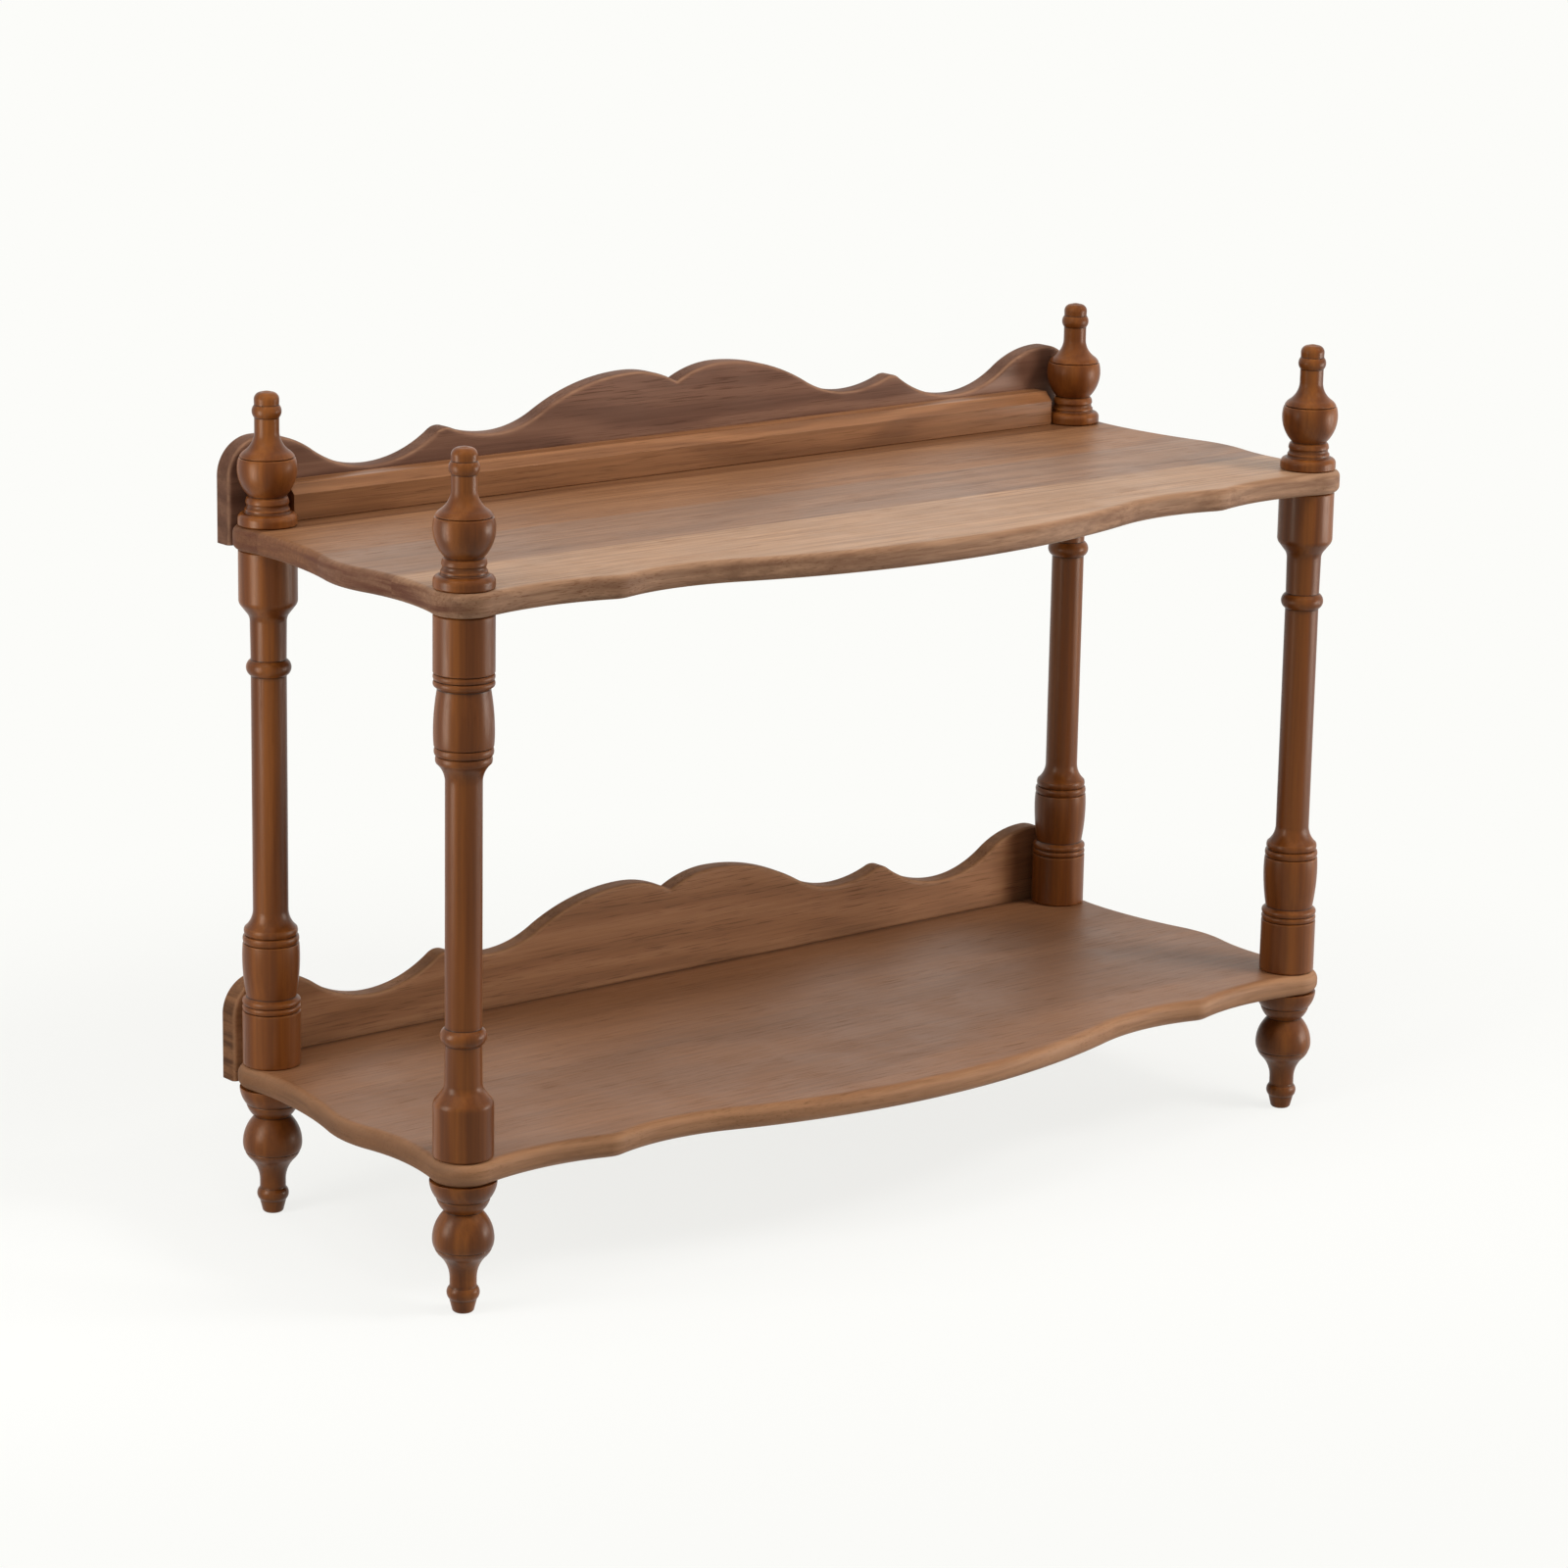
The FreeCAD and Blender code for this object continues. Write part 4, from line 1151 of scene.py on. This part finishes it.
@dataclass
class Finial(Turned):
    """Urn on a disc, a hollow and a neckband, with a drawn-in neck, a ring and a button tip."""

    disc_radius: float = 15.0
    disc_height: float = 3.6
    disc_round: float = 3.0
    fillet_radius: float = 11.4
    fillet_height: float = 1.2
    hollow_height: float = 3.0
    hollow_curve: float = 2.0
    neckband_radius: float = 11.0
    neckband_height: float = 2.6
    neckband_curve: float = 6.0
    neckband_top: float = 10.4
    urn_foot_radius: float = 9.4
    urn_radius: float = 15.1
    urn_lower: float = 14.0
    urn_upper: float = 5.2
    rim_radius: float = 14.3
    shoulder_radius: float = 11.6
    shoulder_height: float = 2.7
    shoulder_curve: float = 7.0
    neck_radius: float = 6.3
    cove_height: float = 9.9
    neck_height: float = 7.0
    ring_height: float = 6.4
    ring_bulge: float = 1.2
    tip_radius: float = 6.4
    tip_height: float = 2.7
    tip_round: float = 3.8
    tip_crown: float = 0.5

    def profile(self) -> Turning:
        """Half profile from the disc to the tip.

        Returns:
            The profile, from pole to pole.
        """
        finial = Turning.standing(self.disc_radius)
        finial.rise(self.disc_radius, self.disc_height - finial.ARRIS)
        finial.swell(self.disc_radius - self.disc_round, self.disc_round, self.disc_round)
        finial.rise(self.fillet_radius, finial.ARRIS)
        finial.rise(self.fillet_radius, self.fillet_height)
        finial.swell(self.neckband_radius, self.hollow_height, self.hollow_curve, Turn.RIGHT)
        finial.swell(self.neckband_top, self.neckband_height, self.neckband_curve)
        finial.rise(self.urn_foot_radius, finial.GROOVE_WIDTH)
        finial.ease(self.urn_radius, self.urn_lower)
        finial.ease(self.rim_radius, self.urn_upper)
        finial.groove(self.rim_radius - finial.BEAD_BULGE)
        finial.swell(self.shoulder_radius, self.shoulder_height, self.shoulder_curve)
        finial.ease(self.neck_radius, self.cove_height, Turn.RIGHT)
        finial.rise(self.neck_radius, self.neck_height)
        finial.bead(self.ring_height, self.ring_bulge)
        finial.rise(self.tip_radius, self.tip_height)
        crown = self.tip_radius - self.tip_round
        finial.swell(crown, self.tip_round, self.tip_round)
        finial.swell(0.0, self.tip_crown, leaving_radius(crown, self.tip_crown))
        return finial


@dataclass
class Foot(Turned):
    """Foot with a tapered toe, a ring, an ankle, a ball with an incised line and two flared collars."""

    toe_radius: float = 5.4
    toe_height: float = 6.0
    toe_top_radius: float = 6.9
    ring_height: float = 6.4
    ring_bulge: float = 1.3
    ankle_radius: float = 6.7
    ankle_height: float = 3.4
    cove_height: float = 12.2
    rim_radius: float = 12.0
    ball_radius: float = 15.3
    line_radius: float = 14.15
    line_height: float = 3.3
    ball_lower: float = 4.0
    ball_upper: float = 14.4
    neck_radius: float = 9.2
    collar_radius: float = 13.3
    collar_height: float = 6.4
    collar_curve: float = 12.8
    flange_radius: float = 16.7
    flange_height: float = 7.6
    flange_curve: float = 15.2
    flange_lip: float = 1.1

    def profile(self) -> Turning:
        """Half profile from the toe to the flange under the shelf.

        Returns:
            The profile, from pole to pole.
        """
        foot = Turning.standing(self.toe_radius)
        foot.rise(self.toe_top_radius, self.toe_height)
        foot.bead(self.ring_height, self.ring_bulge)
        foot.rise(self.ankle_radius, foot.GROOVE_WIDTH)
        foot.rise(self.ankle_radius, self.ankle_height)
        foot.ease(self.rim_radius, self.cove_height, Turn.RIGHT)
        above_line = self.line_radius + foot.BEAD_BULGE
        lower = leaving_radius(self.ball_lower, self.ball_radius - above_line)
        foot.swell(self.line_radius, self.line_height, lower)
        foot.groove(above_line)
        foot.swell(self.ball_radius, self.ball_lower, lower)
        foot.ease(self.neck_radius, self.ball_upper)
        foot.swell(self.collar_radius, self.collar_height, self.collar_curve)
        foot.groove(self.collar_radius + foot.BEAD_BULGE)
        foot.swell(self.flange_radius, self.flange_height, self.flange_curve)
        foot.rise(self.flange_radius, self.flange_lip)
        foot.line(0.0, foot.end[1])
        return foot


@dataclass
class TurnedSet:
    """The posts, finials and feet at the four corners."""

    turned_over: str = "front_left"

    def build(self, material: bpy.types.Material) -> None:
        """Turn and dress each piece at each corner.

        Args:
            material: finish of the turned pieces.
        """
        kinds = {"post": Post(), "finial": Finial(), "foot": Foot()}
        for corner in ("front_left", "front_right", "back_left", "back_right"):
            for kind, maker in kinds.items():
                node = f"{corner}_{kind}"
                piece = maker.build(node, kind == "post" and corner == self.turned_over)
                seat_piece(piece, node, material)


@dataclass
class Shelf:
    """Serpentine panel with lobes under the posts, waves along its front and ends and a straight back."""

    edge_flat: float
    edge_soak_and_shade: float
    thickness: float = 12.0
    post_radius: float = 15.0
    margin: float = 2.5
    cove_station: float = 38.0
    cove_depth: float = 4.6
    bump_station: float = 43.0
    bump_rise: float = 6.5
    bump_radius: float = 16.0
    inner_station: float = 34.0
    inner_depth: float = 4.8
    inner_radius: float = 120.0
    bow_rise: float = 26.0
    end_front_station: float = 38.0
    end_front_depth: float = 5.0
    end_bow_station: float = 80.0
    end_bow_rise: float = 5.0
    end_bow_radius: float = 70.0
    end_back_station: float = 24.0
    end_back_depth: float = 2.0
    sampling: float = 1.0

    def outline(self, front: tuple[float, float], back: tuple[float, float]) -> Line:
        """Closed counter-clockwise outline of the blank.

        The right half runs from the crest of the bow through the waves to the back; the left half
        is its mirror image.

        Args:
            front: place of the front right post.
            back: place of the back right post.

        Returns:
            Outline points at even steps.
        """
        lobe = self.post_radius + self.margin
        reach = lobe - self.cove_depth
        cove_x = front[0] - self.cove_station
        bump_x = cove_x - self.bump_station
        inner_x = bump_x - self.inner_station
        bump_y = front[1] - reach - self.bump_rise
        half = Trace(0.0, bump_y + self.inner_depth - self.bow_rise)
        half.wave(inner_x, bump_y + self.inner_depth, Axis.ACROSS, Turn.LEFT, far=self.inner_radius)
        half.wave(bump_x, bump_y, Axis.ACROSS, Turn.RIGHT, far=self.bump_radius)
        half.wave(cove_x, front[1] - reach, Axis.ACROSS, Turn.LEFT, near=self.bump_radius)
        half.wave(front[0], front[1] - lobe, Axis.ACROSS, Turn.RIGHT, far=lobe)
        half.arc(front[0] + lobe, front[1], lobe, Turn.LEFT)
        side = front[0] + lobe - self.end_front_depth
        half.wave(side, front[1] + self.end_front_station, Axis.UPWARD, Turn.LEFT, near=lobe)
        half.wave(side + self.end_bow_rise, front[1] + self.end_bow_station, Axis.UPWARD, Turn.RIGHT,
                  far=self.end_bow_radius)
        half.wave(back[0] + lobe - self.end_back_depth, back[1] - self.end_back_station, Axis.UPWARD,
                  Turn.LEFT, near=self.end_bow_radius)
        half.wave(back[0] + lobe, back[1], Axis.UPWARD, Turn.RIGHT, far=lobe)
        half.arc(back[0], back[1] + lobe, lobe, Turn.LEFT)
        right = half.points()
        left = right[::-1] * np.array([-1.0, 1.0])
        return evenly(np.concatenate([right, left]), self.sampling)[:-1]

    def build(self, node: str) -> Piece:
        """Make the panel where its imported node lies, cut straight at the node's back edge.

        Args:
            node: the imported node.

        Returns:
            The panel.
        """
        _, _, bottom, _ = node_seat(node)
        front, back = node_seat("front_right_post")[:2], node_seat("back_right_post")[:2]
        section = EdgeSection(self.thickness, (self.thickness - self.edge_flat) / 2.0, whole=True)
        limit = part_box(node)[1].y / MM
        return rounded_panel(f"panel_{node}", self.outline(front, back), section, Plane.LEVEL,
                             (0.0, 0.0, bottom), limit=limit, soaked_and_shaded=self.edge_soak_and_shade)


@dataclass
class BackBoard:
    """Scalloped board: rounded ends, dips, small bumps and two humps that meet in a notch."""

    thickness: float = 12.0
    arris: float = 2.4
    # A high crispness narrows the paler crest to a thin light line along the arris: a painted highlight as
    # well as wear.
    crispness: float = 5.0
    edge_soak_and_shade: float = 0.4
    end_height: float = 54.0
    end_round: float = 20.0
    outer_station: float = 68.0
    outer_depth: float = 21.5
    crest_radius: float = 55.0
    bump_station: float = 46.0
    bump_rise: float = 15.0
    bump_radius: float = 9.0
    inner_station: float = 31.0
    inner_depth: float = 6.0
    hump_station: float = 30.0
    hump_rise: float = 24.0
    hump_radius: float = 120.0
    notch_depth: float = 7.5
    notch_radius: float = 1.5
    sampling: float = 0.5

    def outline(self, half_length: float) -> Line:
        """Open outline from the right foot over the scallops to the left foot.

        Args:
            half_length: half of the board's length.

        Returns:
            Outline points at even steps, counter-clockwise seen from the front.
        """
        peak_x = half_length - self.end_round
        outer_x = peak_x - self.outer_station
        bump_x = outer_x - self.bump_station
        outer_z = self.end_height - self.outer_depth
        bump_z = outer_z + self.bump_rise
        inner_z = bump_z - self.inner_depth
        hump_z = inner_z + self.hump_rise
        half = Trace(half_length, 0.0)
        half.line(half_length, self.end_height - self.end_round)
        half.arc(peak_x, self.end_height, self.end_round, Turn.LEFT)
        half.wave(outer_x, outer_z, Axis.ACROSS, Turn.LEFT, near=self.crest_radius)
        half.wave(bump_x, bump_z, Axis.ACROSS, Turn.RIGHT, far=self.bump_radius)
        half.wave(bump_x - self.inner_station, inner_z, Axis.ACROSS, Turn.LEFT, near=self.bump_radius)
        half.wave(self.hump_station, hump_z, Axis.ACROSS, Turn.RIGHT, far=self.hump_radius)
        half.wave(0.0, hump_z - self.notch_depth, Axis.ACROSS, Turn.LEFT, far=self.notch_radius)
        right = half.points()
        left = right[-2::-1] * np.array([-1.0, 1.0])
        return evenly(np.concatenate([right, left]), self.sampling)

    def build(self, node: str) -> Piece:
        """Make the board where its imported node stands.

        Args:
            node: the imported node.

        Returns:
            The board.
        """
        low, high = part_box(node)
        outline = self.outline((high.x - low.x) / 2.0 / MM)
        section = EdgeSection(self.thickness - HEAD_STAND, self.arris, crispness=self.crispness)
        return rounded_panel(f"panel_{node}", outline, section, Plane.FACING,
                             (0.0, low.y / MM, low.z / MM), closed=False, soaked_and_shaded=self.edge_soak_and_shade)


@dataclass
class GalleryRail:
    """Straight strip against the upper board, with its front arris bevelled."""

    bevel: float = 5.0
    arris: float = 0.5
    end_arris: float = 0.3
    end_lip: float = 0.1
    end_steps: int = 4
    sampling: float = 0.25

    def build(self, node: str) -> Piece:
        """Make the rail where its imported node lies.

        Its section is a rectangle with a wide bevel at the top front and eased arrises elsewhere.

        Args:
            node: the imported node.

        Returns:
            The rail.
        """
        low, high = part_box(node)
        deep, tall = (high.y - low.y) / MM, (high.z - low.z) / MM
        ease, bevel = self.arris, self.bevel
        section = Trace(ease, 0.0)
        section.line(deep - ease, 0.0)
        section.arc(deep, ease, ease, Turn.LEFT)
        section.line(deep, tall - ease)
        section.arc(deep - ease, tall, ease, Turn.LEFT)
        section.line(bevel, tall)
        section.line(0.0, tall - bevel)
        section.line(0.0, ease)
        section.arc(ease, 0.0, ease, Turn.LEFT)
        outline = evenly(section.points(), self.sampling)[:-1]
        edge = EdgeSection((high.x - low.x) / MM, self.end_arris, lip=self.end_lip, steps=self.end_steps)
        return rounded_panel(f"strip_{node}", outline, edge, Plane.SECTION,
                             (low.x / MM, low.y / MM, low.z / MM))


@dataclass
class CrossHeadScrews:
    """Row of countersunk screws, evenly spaced along x, whose heads have a cross recess."""

    count: int
    upright: bool = False
    head_radius: float = 3.6
    head_arris: float = 0.15
    shank_radius: float = 1.75
    point: float = 5.0
    arm_width: float = 0.42
    arm_length: float = 1.7
    recess: float = 1.5
    recess_taper: float = 0.45
    rim_share: float = 0.92
    rim_depth: float = 0.12
    spokes: int = 64

    @property
    def corner(self) -> float:
        """Angle of an arm's corner about the middle."""
        return math.atan2(self.arm_width, self.arm_length)

    def cross(self, angle: Array) -> Array:
        """Distance from the middle to the edge of the recess.

        Folded into an eighth, it is arm_length / cos a up to the arm's corner and
        arm_width / sin a beyond it.

        Args:
            angle: angles about the middle.

        Returns:
            The distance at each angle.
        """
        folded = np.abs((angle + math.pi / 4.0) % (math.pi / 2.0) - math.pi / 4.0)
        side = self.arm_width / np.sin(np.maximum(folded, self.corner))
        return np.where(folded <= self.corner, self.arm_length / np.cos(folded), side)

    def shell(self, length: float) -> tuple[Array, list[Faces]]:
        """One screw, head at zero and point along its own axis.

        Args:
            length: length from head to point.

        Returns:
            Rows of x, y, depth and the blocks of faces.
        """
        steps = np.linspace(-math.pi / 4.0, math.pi / 4.0, self.spokes // 4, endpoint=False)
        quarter = np.unique(np.concatenate([steps, [-self.corner, self.corner]]))
        angle = np.concatenate([quarter + turn * math.pi / 2.0 for turn in range(4)])
        cross, level = self.cross(angle), np.ones_like(angle)
        rings = [
            (cross * self.recess_taper, self.recess),
            (cross * self.rim_share, self.rim_depth),
            (cross, 0.0),
            (level * (self.head_radius - self.head_arris), 0.0),
            (level * self.head_radius, self.head_arris),
            (level * self.shank_radius, self.head_radius - self.shank_radius + self.head_arris),
            (level * self.shank_radius, length - self.point),
        ]
        radius = np.stack([ring for ring, _ in rings])
        depth = np.repeat(np.array([deep for _, deep in rings])[:, None], len(angle), axis=1)
        grid = np.stack([radius * np.cos(angle), radius * np.sin(angle), depth], axis=-1).reshape(-1, 3)
        poles = np.array([[0.0, 0.0, self.recess], [0.0, 0.0, length]])
        return np.concatenate([poles, grid]), capped_rings(len(rings), len(angle))

    def build(self, node: str) -> Piece:
        """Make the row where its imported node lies; upright screws point up, and others forwards.

        Args:
            node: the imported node.

        Returns:
            All screws of the row as one piece.
        """
        low, high = (np.array(corner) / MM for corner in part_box(node))
        middle = (low + high) / 2.0
        shell, faces = self.shell(float(high[2] - low[2] if self.upright else high[1] - low[1]))
        local = shell if self.upright else shell[:, [0, 2, 1]] * np.array([1.0, -1.0, 1.0])
        head = np.array([0.0, middle[1], low[2] - HEAD_STAND] if self.upright else [0.0, high[1], middle[2]])
        places = np.linspace(low[0] + self.head_radius, high[0] - self.head_radius, self.count)
        shifts = places[:, None] * np.array([1.0, 0.0, 0.0]) + head
        vertices = (shifts[:, None] + local[None]).reshape(-1, 3)
        numbers = np.arange(self.count)[:, None, None] * len(shell)
        blocks = [(block[None] + numbers).reshape(-1, block.shape[1]) for block in faces]
        return make_mesh(f"heads_{node}", vertices, blocks)


def bearing(azimuth: float, elevation: float) -> Vector:
    """Unit vector (sin a cos e, -cos a cos e, sin e) for an azimuth and an elevation in degrees."""
    turn, lift = math.radians(azimuth), math.radians(elevation)
    return Vector((math.sin(turn) * math.cos(lift), -math.cos(turn) * math.cos(lift), math.sin(lift)))


@dataclass
class PhotoCamera:
    """Camera at the photograph's angle, for a square frame."""

    azimuth: float = -39.24
    elevation: float = 14.03
    roll: float = 1.01
    distance: float = 2.6212
    aim: Triple = (0.0, 0.0063, 0.215)
    shift_right: float = 0.0069
    shift_up: float = 0.0073
    focal_pixels: float = 5061.7
    frame_pixels: float = 1600.0
    sensor: float = 36.0

    def build(self) -> None:
        """Place the camera on its ray from the aim and turn it back along that ray, with its roll."""
        turn, tilt = math.radians(self.azimuth), math.radians(self.roll)
        back = bearing(self.azimuth, self.elevation)
        level = Vector((math.cos(turn), math.sin(turn), 0.0))
        upward = back.cross(level)
        right = math.cos(tilt) * level + math.sin(tilt) * upward
        up = -math.sin(tilt) * level + math.cos(tilt) * upward
        place = Vector(self.aim) + back * self.distance - right * self.shift_right - up * self.shift_up
        lens = bpy.data.cameras.new("photo_camera")
        lens.sensor_fit = "HORIZONTAL"
        lens.sensor_width = self.sensor
        lens.lens = self.sensor * self.focal_pixels / self.frame_pixels
        camera = new_object("photo_camera", lens)
        turned = Matrix((right, up, back)).transposed().to_4x4()
        camera.matrix_world = Matrix.Translation(place) @ turned
        bpy.context.scene.camera = camera


@dataclass(frozen=True)
class Softbox:
    """A flat lamp aimed at a height above the middle of the floor."""

    name: str
    azimuth: float
    distance: float
    width: float
    height: float
    power: float
    elevation: float = 0.0
    aim: float = 0.2
    spread: float = 180.0
    mirrored: bool = True

    def build(self) -> None:
        """Hang the lamp at its angle about its aim, facing it; the camera doesn't see it."""
        away = bearing(self.azimuth, self.elevation)
        lamp = bpy.data.lights.new(self.name, "AREA")
        lamp.shape = "RECTANGLE"
        lamp.size = self.width
        lamp.size_y = self.height
        lamp.energy = self.power
        lamp.spread = math.radians(self.spread)
        holder = new_object(self.name, lamp)
        holder.location = Vector((0.0, 0.0, self.aim)) + away * self.distance
        holder.rotation_euler = away.to_track_quat("Z", "Y").to_euler()
        holder.visible_camera = False
        holder.visible_glossy = self.mirrored


@dataclass
class Studio:
    """Pale floor, white surroundings and soft lamps."""

    background: Colour = tone(252, 252, 249)
    floor_colour: Colour = tone(188, 188, 186)
    shadow_colour: Colour = tone(104, 104, 103)
    floor_lift: float = 0.84
    shadow_reach: tuple[float, float] = (0.4, 0.75)
    fill: float = 0.28
    floor_half: float = 2.0e4
    lamps: tuple[Softbox, ...] = (
        Softbox("right_softbox", azimuth=38.0, elevation=36.0, distance=1.6, width=0.5, height=0.5, power=4.0,
                aim=0.45, spread=80.0, mirrored=False),
        Softbox("left_softbox", azimuth=-80.0, elevation=36.0, distance=1.1, width=0.5, height=0.5, power=1.3,
                aim=0.5, spread=80.0, mirrored=False),
        Softbox("top_softbox", azimuth=-10.0, elevation=80.0, distance=2.2, width=1.6, height=1.6, power=20.0,
                mirrored=False),
        Softbox("left_strip", azimuth=-95.0, distance=0.8, width=0.22, height=0.4, power=2.2, aim=0.3),
        Softbox("front_strip", azimuth=48.0, distance=1.4, width=0.42, height=0.4, power=5.2, aim=0.21),
        Softbox("right_strip", azimuth=64.3, distance=0.99, width=0.22, height=0.4, power=1.1, aim=0.24),
    )

    def build(self) -> None:
        """Make the floor, the world and the lamps."""
        self.make_floor()
        self.make_world()
        for lamp in self.lamps:
            lamp.build()
        bpy.context.scene.view_settings.view_transform = "Standard"

    def make_floor(self) -> None:
        """A wide sheet at z = 0 that looks white and keeps the shadow.

        Seen directly or in a reflection, it glows nearly white and only its last part is lit, so the
        shadow stays faint; past the shadow's reach it is plain white. Other rays meet a pale sheet.
        """
        corners = np.array([[-1.0, -1.0, 0.0], [1.0, -1.0, 0.0], [1.0, 1.0, 0.0], [-1.0, 1.0, 0.0]])
        floor = make_mesh("studio_floor", corners * self.floor_half, [np.arange(4)[None]])
        material, net = new_material("pale_floor")
        seen = self.seen(net)
        away = net.length(net.add("TexCoord").outputs["Object"])
        far = net.remap(away, *self.shadow_reach)
        lit = net.blend(far, self.shadow_colour, BLACK)
        glow = net.math("MULTIPLY_ADD", far, 1.0 - self.floor_lift, self.floor_lift)
        shader = net.add("BsdfPrincipled", {
            "Base Color": net.blend(seen, self.floor_colour, lit),
            "Roughness": 1.0, "Specular IOR Level": 0.0,
            "Emission Color": self.background, "Emission Strength": net.math("MULTIPLY", seen, glow),
        })
        net.add("OutputMaterial", {"Surface": shader.outputs[0]})
        floor.data.materials.append(material)

    @staticmethod
    def seen(net: Wiring) -> Socket:
        """One for rays from the camera, from a reflection or through glass, and zero for the rest.

        Args:
            net: wiring of the material or the world.

        Returns:
            That number.
        """
        rays = net.add("LightPath").outputs
        direct = net.math("MAXIMUM", rays["Is Camera Ray"], rays["Is Transmission Ray"])
        return net.math("MAXIMUM", direct, rays["Is Glossy Ray"])

    def make_world(self) -> None:
        """White to the camera and in reflections, and a plain fill for the rest."""
        world = bpy.data.worlds.new("studio_world")
        world.use_nodes = True
        net = Wiring(world.node_tree)
        strength = net.math("MULTIPLY_ADD", self.seen(net), 1.0 - self.fill, self.fill)
        shell = net.add("Background", {"Color": self.background, "Strength": strength})
        net.add("OutputWorld", {"Surface": shell.outputs[0]})
        bpy.context.scene.world = world


def dress_hidden(material: bpy.types.Material, *nodes: str) -> None:
    """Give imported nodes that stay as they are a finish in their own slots.

    Args:
        material: the finish.
        nodes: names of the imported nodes.
    """
    for node in nodes:
        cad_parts[node].data.materials.clear()
        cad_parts[node].data.materials.append(material)
        LOG.info("%s keeps its packed shape", node)


def main() -> None:
    """Build the shelf's pieces in order, then the camera and the studio."""
    logging.basicConfig(level=logging.INFO, format="%(message)s")
    effects = Effects.build()
    TurnedSet().build(TURNED_WALNUT.material(effects))
    wooden = (
        ("upper_shelf", Shelf(edge_flat=5.0, edge_soak_and_shade=0.6), UPPER_SHELF_WALNUT),
        ("lower_shelf", Shelf(edge_flat=2.0, edge_soak_and_shade=0.4), LOWER_SHELF_WALNUT),
        ("upper_back_board", BackBoard(), UPPER_BOARD_WALNUT),
        ("lower_back_board", BackBoard(), LOWER_BOARD_WALNUT_PAINTED_LIGHT),
        ("gallery_rail", GalleryRail(), RAIL_WALNUT),
    )
    for node, maker, finish in wooden:
        seat_piece(maker.build(node), node, finish.material(effects))
    zinc = ZINC.material()
    screws = (
        ("upper_back_board_screws", CrossHeadScrews(count=5)),
        ("lower_back_board_screws", CrossHeadScrews(count=5)),
        ("gallery_rail_screws", CrossHeadScrews(count=4, upright=True)),
    )
    for node, maker in screws:
        seat_piece(maker.build(node), node, zinc)
    dress_hidden(zinc, "finial_studs", "foot_studs")
    dress_hidden(BRASS.material(), "post_top_inserts", "post_bottom_inserts")
    PhotoCamera().build()
    Studio().build()


if __name__ == "__main__":
    main()
